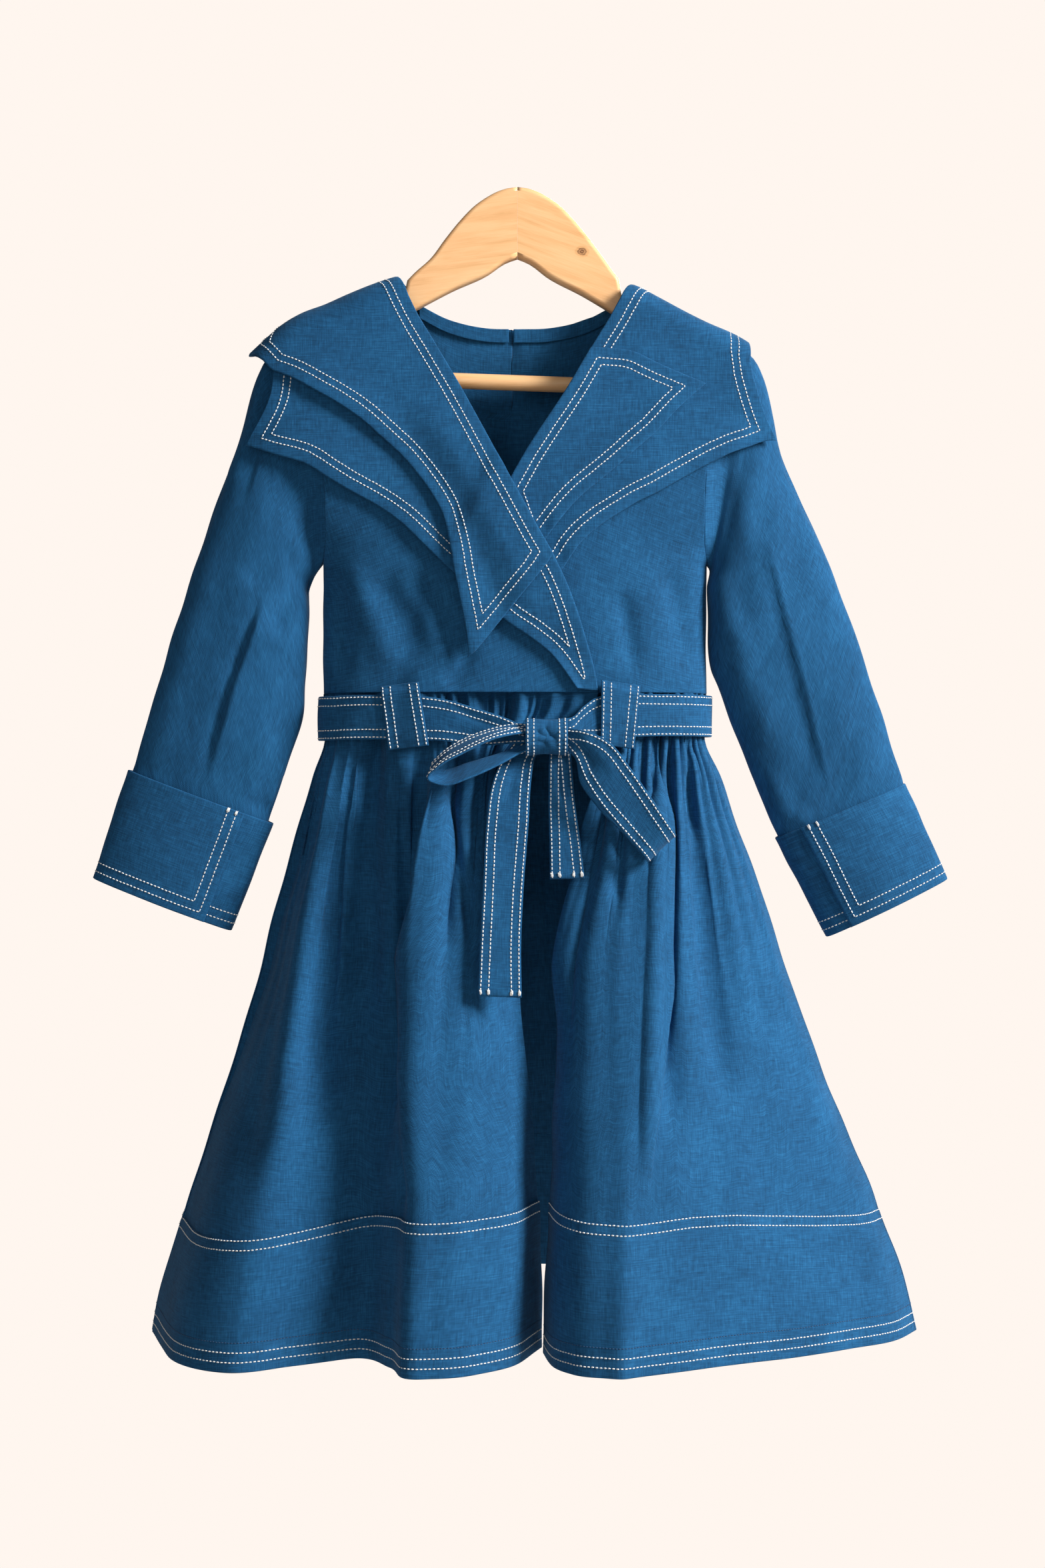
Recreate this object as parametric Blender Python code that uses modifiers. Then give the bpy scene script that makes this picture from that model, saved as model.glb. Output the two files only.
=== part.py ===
"""A child's denim wrap dress with long sleeves, a wide double collar and a tied belt, on its wooden hanger.

Right and left are the wearer's, so the wearer's right is at -X and the front faces -Y. The origin is the
top centre of the hanger. Lengths are millimetres in the tables below and metres in the meshes.
"""
import math

import bmesh
import bpy
import numpy as np

MM = 0.001
WALL = 1.2            # one piece of denim
PITCH = 2.0           # from one layer to the next, which leaves 0.8 of air
SEAM = 0.5            # between two pieces that meet edge to edge

SHOULDER_ROUND = 9.0  # radius of the cloth where it turns over the hanger
TURN = SHOULDER_ROUND * math.pi / 2
WAIST_Z = -297.0
SIDE_RIGHT = 113.0    # half widths of the bodice below the arms
SIDE_LEFT = 110.0
UNDERARM_Z = -222.0
BULGE = 3.0           # the torso's section: squareness at the sides, and fullness towards the middle
FULLNESS = 0.4545
DENIM = (0.045, 0.135, 0.29)
MAPLE = (0.62, 0.36, 0.16)
BUTTON_BLUE = (0.05, 0.09, 0.17)

# Height of the shoulder line, out from the neck on each side
RIDGE = (  # distance from the middle, z on the right, z on the left
    (0, -57, -57),
    (50, -57, -57),
    (67, -57.6, -60),
    (80, -61.5, -66.8),
    (96, -68, -75),
    (110, -74, -82),
    (125, -79.5, -89.5),
    (134, -85, -95),
    (143, -93, -101),
    (150, -100, -108),
    (165, -116, -124),
)
# How far the cloth stands from the middle plane at each height
DEPTH = (  # z, front, back
    (-297, 29, 22),
    (-222, 27, 21),
    (-170, 22, 18),
    (-120, 16, 14),
    (-80, 11, 10.5),
    (-57, 9, 9),
)
# Half width of the torso's section, which takes in the sleeve heads above the arms
SECTION = (  # z, right, left
    (-297, SIDE_RIGHT, SIDE_LEFT),
    (-222, SIDE_RIGHT, SIDE_LEFT),
    (-212, 118, 115),
    (-190, 142, 138),
    (-160, 168, 164),
    (-57, 172, 170),
)
# The armhole seam, as the distance from the middle on the right side
ARMHOLE = (  # z, x
    (-222, SIDE_RIGHT),
    (-212, 111.6),
    (-195, 111.4),
    (-172, 112),
    (-150, 114.5),
    (-128, 118),
    (-105, 122),
    (-80, 127),
)


def mix(a, b, t):
    return a + (b - a) * t


def ease(t):
    t = min(max(t, 0.0), 1.0)
    return t * t * (3 - 2 * t)


def read(rows, key):
    """Read a table at a key, along a smooth curve through its rows, whose first column rises."""
    rows = np.array(rows, float)
    keys = rows[:, 0]
    values = rows[:, 1:]
    slopes = np.gradient(values, keys, axis=0)
    key = min(max(key, keys[0]), keys[-1])
    i = min(max(int(np.searchsorted(keys, key)), 1), len(keys) - 1)
    span = keys[i] - keys[i - 1]
    t = (key - keys[i - 1]) / span
    rise = values[i] - values[i - 1]
    start = slopes[i - 1] * span
    end = slopes[i] * span
    return values[i - 1] + start * t + (3 * rise - 2 * start - end) * t * t + (start + end - 2 * rise) * t ** 3


def straight(rows, key, column):
    """Read one column of a table with straight lines between its rows."""
    table = np.array(rows, float)
    return float(np.interp(key, table[:, 0], table[:, column]))


def ridge(x):
    return float(read(RIDGE, abs(x))[0 if x < 0 else 1])


def half_width(x, z):
    return straight(SECTION, z, 1 if x < 0 else 2)


def stand_off(x, z, back, width=None):
    """Distance of the bodice cloth from the middle plane, before the turn over the shoulder."""
    width = width or half_width(x, z)
    reach = straight(DEPTH, z, 2 if back else 1)
    return reach * max(1 - (abs(x) / width) ** BULGE, 0.0) ** FULLNESS


def from_ridge(x, z):
    """Distance along the cloth from the shoulder line down to a height."""
    sink = ridge(x) - z
    if sink < SHOULDER_ROUND:
        return SHOULDER_ROUND * math.acos(1 - max(sink, 0.0) / SHOULDER_ROUND)
    return TURN + sink - SHOULDER_ROUND


def surface(x, run):
    """A point on the bodice's inner face: run is the way from the shoulder line, below zero on the front."""
    turn = min(abs(run) / SHOULDER_ROUND, math.pi / 2)
    sink = SHOULDER_ROUND * (1 - math.cos(turn)) + max(abs(run) - TURN, 0.0)
    z = ridge(x) - sink
    y = stand_off(x, z, run > 0) * math.sin(turn)
    return np.array((x, y if run > 0 else -y, z))


def on_torso(x, run, lift):
    """A point lifted off the bodice's inner face, square to it."""
    step = 0.4
    across = surface(x + step, run) - surface(x - step, run)
    along = surface(x, run + step) - surface(x, run - step)
    normal = np.cross(across, along)
    return surface(x, run) + normal / np.linalg.norm(normal) * lift


# Necklines, from the shoulder to the waist. The left one runs on under the right front.
NECK_RIGHT = (  # depth below the origin, x
    (55.5, -71), (75, -59), (94, -48), (118, -34), (151, -16.6), (178, -2), (205, 12.6),
    (228, 25.2), (246, 32.5), (263.5, 38.2), (282, 43.5), (297, 46.2),
)
NECK_LEFT = (  # depth below the origin, x
    (57.5, 67), (78.4, 53.6), (98.3, 41.7), (119.4, 29.6), (142, 14.9), (158.3, 4.5), (172.6, -3.5),
    (205, -20), (235, -33), (262, -42), (297, -48),
)


def neck_right(z):
    return float(read(NECK_RIGHT, -z)[0])


def neck_left(z):
    return float(read(NECK_LEFT, -z)[0])


LAP_AHEAD = 22.0      # how far before the left front's edge the right front starts to rise over it
LAP_RAMP = 14.0       # and the width that it rises in
LAP_TOP_Z = -118.0    # the height that the lap starts below
LAP_FALL = 44.0       # and the height that it grows in
COLLAR_REACH = 46.0   # how far from the right neckline the left collar's ends lie
COLLAR_RAMP = 24.0
COLLAR_LOW_Z = -284.0
COLLAR_FADE = 40.0


def right_lift(x, z):
    """How far the right front rides above the left front and its collar ends."""
    below = ease((LAP_TOP_Z - z) / LAP_FALL)
    over_front = ease((x - neck_left(z) + LAP_AHEAD) / LAP_RAMP)
    near_edge = ease((COLLAR_REACH - (neck_right(z) - x)) / COLLAR_RAMP)
    over_collar = near_edge * ease((z - COLLAR_LOW_Z) / COLLAR_FADE)
    return PITCH * below * (over_front + 2 * over_collar)


def armhole(z, side):
    """The armhole seam, or the side seam below it."""
    if z <= UNDERARM_Z:
        return side * (SIDE_RIGHT if side < 0 else SIDE_LEFT)
    reach = float(read(ARMHOLE, z)[0])
    return side * (reach if side < 0 else reach - SIDE_RIGHT + SIDE_LEFT)


def paint(name, colour, roughness):
    material = bpy.data.materials.new(name)
    material.use_nodes = True
    shader = material.node_tree.nodes["Principled BSDF"]
    shader.inputs["Base Color"].default_value = (*colour, 1)
    shader.inputs["Roughness"].default_value = roughness
    return material


def loosen(piece):
    """Take a new primitive out of the collection that it was added to."""
    for home in list(piece.users_collection):
        home.objects.unlink(piece)


def keep(piece, name, colour, roughness):
    """Put a piece in the dress's collection, with a material of its own and smooth shading."""
    piece.data.materials.append(paint(name, colour, roughness))
    dress.objects.link(piece)
    piece.data.shade_smooth()
    piece.data.set_sharp_from_angle(angle=math.radians(45))
    return piece


def cloth(name, grid, facing, wall=WALL, tube=False, slit=None):
    """Make a cloth wall on a grid of inner points; facing is the outward way at the grid's middle.

    A slit is the column before it, where the cells are left out down to the row in which it closes.
    """
    columns = len(grid[0])
    points = [tuple(float(c) * MM for c in point) for row in grid for point in row]
    faces = []
    for j in range(len(grid) - 1):
        for k in range(columns if tube else columns - 1):
            n = (k + 1) % columns
            if k == slit and grid[j][k][0] != grid[j][n][0]:
                continue
            faces.append((j * columns + k, j * columns + n, (j + 1) * columns + n, (j + 1) * columns + k))
    mesh = bpy.data.meshes.new(name)
    mesh.from_pydata(points, [], faces)
    shape = bmesh.new()
    shape.from_mesh(mesh)
    bmesh.ops.remove_doubles(shape, verts=shape.verts, dist=0.02 * MM)
    shape.faces.ensure_lookup_table()
    middle = (len(grid) // 2 - 1) * (columns if tube else columns - 1) + columns // 2
    normal = shape.faces[middle].normal
    if sum(a * b for a, b in zip(normal, facing)) < 0:
        bmesh.ops.reverse_faces(shape, faces=shape.faces)
    shape.to_mesh(mesh)
    shape.free()
    piece = bpy.data.objects.new(name, mesh)
    thick = piece.modifiers.new("wall", "SOLIDIFY")
    thick.thickness = wall * MM
    thick.offset = 1
    return keep(piece, name, DENIM, 0.85)


def shares(count, bias=1.0):
    """Even shares from 0 to 1, closer together towards 1 where bias is over 1."""
    return [1 - (1 - k / (count - 1)) ** bias for k in range(count)]


for old in list(bpy.data.objects):
    bpy.data.objects.remove(old, do_unlink=True)
dress = bpy.data.collections.new("denim dress")
cutters = bpy.data.collections.new("cutters")
bpy.context.scene.collection.children.link(dress)
bpy.context.scene.collection.children.link(cutters)


# Hanger: two flat maple arms glued at the middle, with a round bar glued into them
ARM_THICK = 10.0
ARM_ROUND = 2.6
ARM_TOP = (  # distance out, z
    (0, 0), (6, -0.8), (12.3, -2.9), (18, -6), (24.4, -10.4), (33.4, -19.4), (42.4, -30.5), (51, -42),
)
ARM_NECK = (  # distance out and z on the right, distance out and z on the left
    (60, -50, 55.5, -48.4), (64.5, -54.6, 59.5, -53.6), (66.4, -63.4, 61.4, -64.2),
)
ARM_END = (  # distance out, distance below the shoulder line
    (80, 1.7), (96, 1.7), (110, 1.7), (117, 2.4), (121, 5), (123.5, 11), (124, 19), (121.5, 27), (117.5, 32),
)
ARM_UNDER = (  # distance out, z
    (112, -115.5), (112, -100.5), (98, -92.5), (80, -82.5), (59, -71.4), (37.7, -60.2), (18.2, -51.4),
    (6, -43.4), (0, -41.4),
)
BAR_SEAT = 112.0
BAR_DEPTH = 3.0
BAR_Z = -110.2
BAR_RADIUS = 4.6
BAR_DROP = ridge(BAR_SEAT) - ridge(-BAR_SEAT)
HOOK_HOLE_RADIUS = 1.6
HOOK_HOLE_DEPTH = 25.0


def arm_outline(side):
    """One arm's outline, from the top of the middle joint round its end to the bottom of that joint."""
    outline = list(ARM_TOP)
    outline += [(row[0], row[1]) if side < 0 else (row[2], row[3]) for row in ARM_NECK]
    outline += [(out, ridge(side * out) - below) for out, below in ARM_END]
    drop = BAR_DROP if side > 0 else 0.0
    outline += [(out, z + drop * min(out / BAR_SEAT, 1)) for out, z in ARM_UNDER]
    return [(side * out, z) for out, z in outline]


def tool(piece, name):
    """Put a shape that only cuts or joins in the cutters' collection."""
    piece.name = name
    piece.hide_render = True
    piece.display_type = "WIRE"
    loosen(piece)
    cutters.objects.link(piece)
    return piece


def combine(piece, other, operation):
    change = piece.modifiers.new(other.name, "BOOLEAN")
    change.operation = operation
    change.solver = "EXACT"
    change.object = other


def hanger():
    """The arms as one board cut to their outline and rounded on its edges, then bored and joined to the bar."""
    outline = arm_outline(1) + list(reversed(arm_outline(-1)))[1:-1]
    shape = bmesh.new()
    face = shape.faces.new([shape.verts.new((x * MM, -ARM_THICK / 2 * MM, z * MM)) for x, z in outline])
    grown = bmesh.ops.extrude_face_region(shape, geom=[face])
    raised = [item for item in grown["geom"] if isinstance(item, bmesh.types.BMVert)]
    bmesh.ops.translate(shape, verts=raised, vec=(0, ARM_THICK * MM, 0))
    bmesh.ops.recalc_face_normals(shape, faces=shape.faces)
    rims = [edge for edge in shape.edges if abs(edge.verts[0].co.y - edge.verts[1].co.y) < 0.1 * MM]
    bmesh.ops.bevel(shape, geom=rims, offset=ARM_ROUND * MM, segments=2, profile=0.5, affect="EDGES")
    bmesh.ops.triangulate(shape, faces=[face for face in shape.faces if len(face.verts) > 4])
    mesh = bpy.data.meshes.new("hanger")
    shape.to_mesh(mesh)
    shape.free()
    piece = bpy.data.objects.new("hanger", mesh)
    bpy.ops.mesh.primitive_cylinder_add(vertices=12, radius=HOOK_HOLE_RADIUS * MM, depth=HOOK_HOLE_DEPTH * 2 * MM)
    combine(piece, tool(bpy.context.object, "hook hole"), "DIFFERENCE")
    bar_half = BAR_SEAT + BAR_DEPTH
    slope = math.atan2(BAR_DROP, 2 * BAR_SEAT)
    bpy.ops.mesh.primitive_cylinder_add(
        vertices=20, radius=BAR_RADIUS * MM, depth=2 * bar_half / math.cos(slope) * MM,
        location=(0, 0, (BAR_Z + BAR_DROP / 2) * MM), rotation=(0, math.pi / 2 - slope, 0))
    combine(piece, tool(bpy.context.object, "bar"), "UNION")
    return keep(piece, "hanger", MAPLE, 0.45)


hanger()


# Bodice: two fronts that lap, and a back with a slit at the neck
RIDGE_RUNS = (SEAM / 2, 5.0, 10.0, 15.0)
FRONT_ROWS = (  # z at the neckline, z at the armhole or side
    (-75, -105),
    (-98, -128),
    (-123, -150),
    (-148, -172),
    (-168, -192),
    (-188, -208),
    (-207, -222.5),
    (-228, -240),
    (-250, -260),
    (-274, -279),
    (-297, -297),
)
FRONT_SHARES = (0, 0.07, 0.14, 0.21, 0.28, 0.36, 0.46, 0.57, 0.68, 0.79, 0.88, 0.95, 0.985, 1)


def front(name, side, neck, lift):
    """A front: rows from the shoulder to the waist, columns from the neckline to the armhole and side."""
    shoulder_neck = neck(-57)
    shoulder_end = armhole(-80, side)
    first_neck = neck(FRONT_ROWS[0][0])
    first_side = armhole(FRONT_ROWS[0][1], side)
    neck_run = from_ridge(first_neck, FRONT_ROWS[0][0])
    side_run = from_ridge(first_side, FRONT_ROWS[0][1])
    ends = []
    for run in RIDGE_RUNS:
        ends.append((mix(shoulder_neck, first_neck, run / neck_run), run,
                     mix(shoulder_end, first_side, run / side_run), run))
    for neck_z, side_z in FRONT_ROWS:
        x = neck(neck_z)
        out = armhole(side_z, side)
        ends.append((x, from_ridge(x, neck_z), out, from_ridge(out, side_z)))
    grid = []
    for j, (x, run, out, side_reach) in enumerate(ends):
        low = ease((j - len(RIDGE_RUNS)) / (len(ends) - 1 - len(RIDGE_RUNS)))
        row = []
        for share in FRONT_SHARES:
            across = mix(x, out, share)
            reach = mix(run, side_reach, share)
            flat_z = mix(surface(x, -run)[2], surface(out, -side_reach)[2], share)
            reach = mix(reach, from_ridge(across, flat_z), low)
            point = on_torso(across, -reach, lift(across, surface(across, -reach)[2]))
            if share == 1:
                point = surface(across, -reach)
                point[1] = min(point[1], -SEAM / 2)
            row.append(point)
        grid.append(row)
    return cloth(name, grid, (0, -1, 0))


front("bodice_front_right", -1, neck_right, right_lift)
front("bodice_front_left", 1, neck_left, lambda x, z: 0.0)

SLIT_X = -3.7
SLIT_WIDTH = 2.2
SLIT_END_Z = -132.0
BACK_NECK = (  # distance from the middle, z
    (0, -81), (18, -80.5), (32, -78), (43, -74.5), (52, -70), (60, -65.5), (66, -62.5), (71, -60),
)
NECK_SHARES = (0, 0.2, 0.4, 0.6, 0.8, 0.96)       # columns from the slit to the neck's corner
SHOULDER_SHARES = (0, 0.22, 0.45, 0.68, 0.86, 1)  # columns from that corner to the armhole
BACK_DOWN = (0.0, 0.0225, 0.045, 0.068, 0.13, 0.2355, 0.34, 0.44, 0.53, 0.6, 0.655, 0.75, 0.87, 1.0)


def back_half(side):
    """Half of the back: columns from the middle out, rows from the neck and shoulder to the waist."""
    shoulder_end = armhole(-80, side)
    shoulder_neck = neck_right(-57) if side < 0 else neck_left(-57)
    corner = (shoulder_neck - SLIT_X) / (shoulder_end - SLIT_X)
    columns = [corner * share for share in NECK_SHARES] + [mix(corner, 1, share) for share in SHOULDER_SHARES]
    grid = []
    for share in BACK_DOWN:
        side_z = mix(surface(shoulder_end, 0)[2], WAIST_Z, share)
        out = armhole(side_z, side)
        row = []
        for k, column in enumerate(columns):
            top_x = SLIT_X + (shoulder_end - SLIT_X) * column
            neck_z = float(read(BACK_NECK, abs(top_x))[0])
            top_run = from_ridge(top_x, neck_z) if k < len(NECK_SHARES) else RIDGE_RUNS[0]
            x = SLIT_X + (out - SLIT_X) * column
            run = mix(top_run, from_ridge(x, WAIST_Z), share)
            height = surface(x, run)[2]
            if column == 0 and height > SLIT_END_Z - 1:
                x += side * SLIT_WIDTH / 2
            point = surface(x, run)
            if column == 1:
                point[1] = max(point[1], SEAM / 2)
            row.append(point)
        grid.append(row)
    return grid


left_half = back_half(1)
right_half = back_half(-1)
back_grid = [list(reversed(a)) + b for a, b in zip(right_half, left_half)]
cloth("bodice_back", back_grid, (0, 1, 0), slit=len(right_half[0]) - 1)


# Collars: wide double pieces that lie on the fronts, go over the shoulders and end plainly on the back
BACK_RUNS = (10.0, 5.0, 0.0)    # extra rows behind the shoulder line and in front of it
AHEAD_RUNS = (5.0, 10.0, 15.0)
COLLAR_COLUMNS = 9
LOWER_RIGHT = (  # z on the neckline, outer x, outer z
    (-75, -143, -125),
    (-94, -156, -153.5),
    (-106, -136, -160),
    (-118, -116.5, -167.5),
    (-134, -97.3, -179.8),
    (-151, -81, -189),
    (-178, -63.5, -202),
    (-205, -44.3, -221),
    (-228, -23.3, -240),
    (-246, -6.5, -256),
    (-263.5, 6.6, -265),
    (-282, 20, -276),
    (-296.4, 34, -295.5),
)
UPPER_RIGHT = (  # z on the neckline, outer x, outer z
    (-76, -142, -109.5),
    (-94, -125, -117.5),
    (-118, -107, -128),
    (-134.5, -90.7, -139),
    (-151, -75.4, -152.6),
    (-164, -60.7, -167.5),
    (-178, -50.2, -181.4),
    (-187, -42.9, -194.6),
    (-195, -38.6, -210.8),
    (-201.5, -35.5, -228.6),
    (-207.5, -31.9, -246.2),
    (-213, -28.6, -264),
    (-219.2, -27.4, -277.7),
)
LOWER_LEFT = (  # z on the neckline, outer x, outer z
    (-78.4, 136, -112.5),
    (-88.5, 139.6, -126),
    (-98.3, 144, -139),
    (-108, 149, -150.5),
    (-119.4, 134.6, -154.2),
    (-128, 122.5, -158.7),
    (-135.5, 109.3, -165.1),
    (-142, 92.9, -174.2),
    (-150, 78.2, -182.7),
    (-158.3, 63.1, -190.9),
    (-166, 48.5, -200.5),
    (-172.6, 36.8, -210.8),
    (-181, 25.1, -227),
    (-190, 14, -237),
)
UPPER_LEFT = (  # z on the neckline, outer x, outer z
    (-97, 108.5, -118.8),
    (-108, 93.2, -132.8),
    (-119.4, 78.4, -148.4),
    (-131, 63.3, -161.7),
    (-142, 48.6, -174.4),
    (-151, 34, -187.1),
    (-158.3, 20.6, -203.4),
    (-168, 14.4, -212),
    (-181, 6, -220),
)
BACK_COLLAR = (  # way down the back from the shoulder line at the neck, neck x, at the outer edge, outer x
    (14, 60, 28, 136),
    (20, 46, 52, 130),
    (24, 32, 66, 84),
    (27, 19, 72, 26),
)


def collar(name, side, rows, neck, lift, ridge_end=None, back_size=1.0):
    """A collar: rows from its back end, over the shoulder and down the neckline to its point."""
    ends = []
    if ridge_end:
        first_z, first_out, first_out_z = rows[0]
        first_neck = neck(first_z)
        front_run = from_ridge(first_neck, first_z)
        outer_run = from_ridge(first_out, first_out_z)
        shoulder_neck = neck(-57)
        back_neck = side * BACK_COLLAR[0][1]
        back_out = side * BACK_COLLAR[0][3]
        for run, x, out_run, out in reversed(BACK_COLLAR):
            ends.append((side * x, run, side * min(out, ridge_end), max(out_run * back_size, run)))
        for run in BACK_RUNS:
            share = run / BACK_COLLAR[0][0]
            ends.append((mix(shoulder_neck, back_neck, share), run,
                         mix(side * ridge_end, back_out, run / BACK_COLLAR[0][2]), run))
        for run in AHEAD_RUNS:
            if run < min(front_run, outer_run) - 2:
                ends.append((mix(shoulder_neck, first_neck, run / front_run), -run,
                             mix(side * ridge_end, first_out, run / outer_run), -run))
    for neck_z, out, out_z in rows:
        x = neck(neck_z)
        ends.append((x, -from_ridge(x, neck_z), out, -from_ridge(out, out_z)))
    grid = []
    for x, run, out, out_run in ends:
        row = []
        for share in shares(COLLAR_COLUMNS):
            across = mix(x, out, share)
            reach = mix(run, out_run, share)
            height = surface(across, reach)[2]
            above = lift(across, height) if reach < 0 else lift(across, -57)
            row.append(on_torso(across, reach, above))
        grid.append(row)
    return cloth(name, grid, (0, -1, 0))


COLLAR_AIR = 0.35     # extra room for the collars that follow the right front's rise
collar("collar_lower_right", -1, LOWER_RIGHT, neck_right,
       lambda x, z: right_lift(x, z) + PITCH + COLLAR_AIR, 139)
collar("collar_upper_right", -1, UPPER_RIGHT, neck_right,
       lambda x, z: right_lift(x, z) + 2 * (PITCH + COLLAR_AIR), 153, 0.8)
collar("collar_lower_left", 1, LOWER_LEFT, neck_left, lambda x, z: PITCH, 133)
collar("collar_upper_left", 1, UPPER_LEFT, neck_left, lambda x, z: 2 * PITCH)


# Sleeves: flattened tubes that hang from the armholes, then the cuffs
SLEEVE_AROUND = 16
SLEEVE_HEAD = 170.0   # half width of the shoulders' section that the sleeve heads are kept inside
HEAD_FREE_Z = -160.0  # below this the sleeve hangs free of the collars
FLATNESS = 0.8
SLEEVE_RIGHT = (  # outer x, outer z, inner x, inner z, front depth, back depth
    (-139, -91.5, -117.3, -225.5, 13, 11),
    (-147.5, -100.5, -119.4, -229, 14, 12),
    (-152.5, -110, -121.4, -234, 15, 12),
    (-160, -140, -122.6, -241, 16, 13),
    (-171.4, -171, -123, -255, 17, 13),
    (-183, -202, -123.2, -271, 17, 13),
    (-193.3, -233.5, -123.4, -289, 16, 12),
    (-203, -265, -124.7, -307, 15, 12),
    (-212, -296, -130, -326, 14, 11),
    (-220, -322, -138.5, -349, 13, 11),
    (-226, -340.5, -145.5, -371, 12, 11),
)
SLEEVE_LEFT = (  # outer x, outer z, inner x, inner z, front depth, back depth
    (131, -95.5, 113.4, -224, 13, 11),
    (138.5, -103, 113.6, -230, 14, 12),
    (144, -112, 113.2, -238, 14, 12),
    (148.6, -136, 113.2, -250, 15, 12),
    (154, -158, 113.2, -262, 16, 13),
    (164, -180, 113.4, -272, 17, 13),
    (174.5, -203, 114.5, -282, 17, 13),
    (187, -234, 118, -292, 16, 12),
    (199, -268, 124.5, -308, 15, 12),
    (210, -301, 132, -327, 14, 11),
    (219, -328, 141.5, -352, 13, 11),
    (224.8, -348, 153, -379.5, 12, 11),
)


def sleeve_ring(side, row, count):
    """A flattened ring across the sleeve, kept under the collar where that lies over the sleeve's head."""
    outer_x, outer_z, inner_x, inner_z, front_depth, back_depth = row
    ring = []
    for k in range(count):
        angle = 2 * math.pi * k / count
        share = (1 - math.cos(angle)) / 2
        x = mix(outer_x, inner_x, share)
        z = mix(outer_z, inner_z, share)
        back = math.sin(angle) < 0
        depth = (back_depth if back else front_depth) * abs(math.sin(angle)) ** FLATNESS
        turn = min(from_ridge(x, z) / SHOULDER_ROUND, math.pi / 2)
        roof = stand_off(x, z, back, SLEEVE_HEAD) * math.sin(turn) + 40 * ease((HEAD_FREE_Z - z) / 40)
        depth = min(depth, roof)
        ring.append((x, depth if back else -depth, z))
    return ring


def sleeve(name, side, rows):
    """A sleeve: its first ring follows the armhole, the rest its table."""
    low_z = UNDERARM_Z + 3.5
    top_x = armhole(-80, side) + side * SEAM
    first = []
    for k in range(SLEEVE_AROUND):
        angle = 2 * math.pi * k / SLEEVE_AROUND
        share = (1 - math.cos(angle)) / 2
        z = mix(ridge(top_x), low_z, share)
        x = armhole(z, side) + side * (SEAM + 1.6 * share ** 6 + 0.9 * (1 - share) ** 8)
        run = from_ridge(x, z)
        point = surface(x, run if math.sin(angle) < 0 else -run)
        if k == SLEEVE_AROUND // 2:
            point[1] = 0
        first.append(point)
    grid = [first] + [sleeve_ring(side, row, SLEEVE_AROUND) for row in rows]
    return cloth(name, grid, (0, -1, 0) if side < 0 else (0, 1, 0), tube=True)


sleeve("sleeve_right", -1, SLEEVE_RIGHT)
sleeve("sleeve_left", 1, SLEEVE_LEFT)

CUFF_RIGHT = (  # outer x, outer z, inner x, inner z, depth
    (-227.2, -341.3, -144.5, -372, 12),
    (-234, -362.5, -152.5, -393.5, 12.5),
    (-241, -384.5, -161, -415, 12.5),
    (-247.5, -405, -169, -435, 12),
)
CUFF_LEFT = (  # outer x, outer z, inner x, inner z, depth
    (226.4, -349.3, 152, -380.5, 12),
    (234.5, -367.5, 162.5, -400, 12.5),
    (242.5, -386, 173, -421, 12.5),
    (251, -405.5, 182.5, -438.5, 12),
)
CUFF_START = math.radians(131)
CUFF_END = math.radians(-218)
CUFF_COLUMNS = 23
LAP_FROM = 0.4        # the angle that the upper lap starts to lift from, and the angle that it lifts in
LAP_TURN = 1.2


def cuff(name, side, rows):
    """A cuff: a strip that starts at the edge of its upper lap, goes round and ends under that lap."""
    grid = []
    for outer_x, outer_z, inner_x, inner_z, depth in rows:
        row = []
        for k in range(CUFF_COLUMNS):
            angle = mix(CUFF_START, CUFF_END, k / (CUFF_COLUMNS - 1))
            share = (1 - math.cos(angle)) / 2
            lap = ease((angle - LAP_FROM) / LAP_TURN)
            x = mix(outer_x, inner_x, share)
            z = mix(outer_z, inner_z, share)
            reach = depth + PITCH * lap
            row.append((x, -reach * math.copysign(abs(math.sin(angle)) ** FLATNESS, math.sin(angle)), z))
        grid.append(row)
    return cloth(name, grid, (0, 1, 0))


cuff("cuff_right", -1, CUFF_RIGHT)
cuff("cuff_left", 1, CUFF_LEFT)


# Skirt: two fronts that part at the middle, and a back, each gathered into the waist over a hem band
SKIRT_TOP_Z = WAIST_Z - SEAM
HEM_RIGHT = 213.0     # half widths at the hem
HEM_LEFT = 233.3
SKIRT_RIGHT = (  # share of the waist, hem x, hem y, z of the band's top, hem z
    (0.00, 13, -61, -584, -665),
    (0.13, -1.7, -93, -586, -667),
    (0.27, -23.6, -110, -587, -668),
    (0.42, -45, -118, -588, -668),
    (0.53, -60, -117, -588, -668),
    (0.645, -69, -94, -588, -668),
    (0.755, -92, -74, -592, -668),
    (0.82, -125, -88, -597, -669),
    (0.88, -158, -98, -601, -670),
    (0.94, -190, -72, -603, -670),
    (1.00, -HEM_RIGHT, -SEAM / 2, -604, -671),
)
SKIRT_LEFT = (  # share of the waist, hem x, hem y, z of the band's top, hem z
    (0.00, 15.5, -66, -584, -667),
    (0.06, 19.5, -92, -586, -668),
    (0.13, 30, -109, -588, -668),
    (0.24, 48, -117, -589, -668),
    (0.48, 70, -112, -589, -668),
    (0.60, 98, -98, -588, -668),
    (0.69, 125, -85, -589, -668),
    (0.77, 155, -68, -592, -669),
    (0.84, 185, -50, -595, -669),
    (0.91, 215, -27, -598, -670),
    (1.00, HEM_LEFT, -SEAM / 2, -599, -670),
)
SPLIT_RIGHT = (  # way down from the waist to the hem, x of the front edge
    (0, 42), (0.09, 14), (0.22, 3.5), (0.47, 1.5), (0.63, 7.5), (0.77, 11.5), (1, 13),
)
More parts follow.
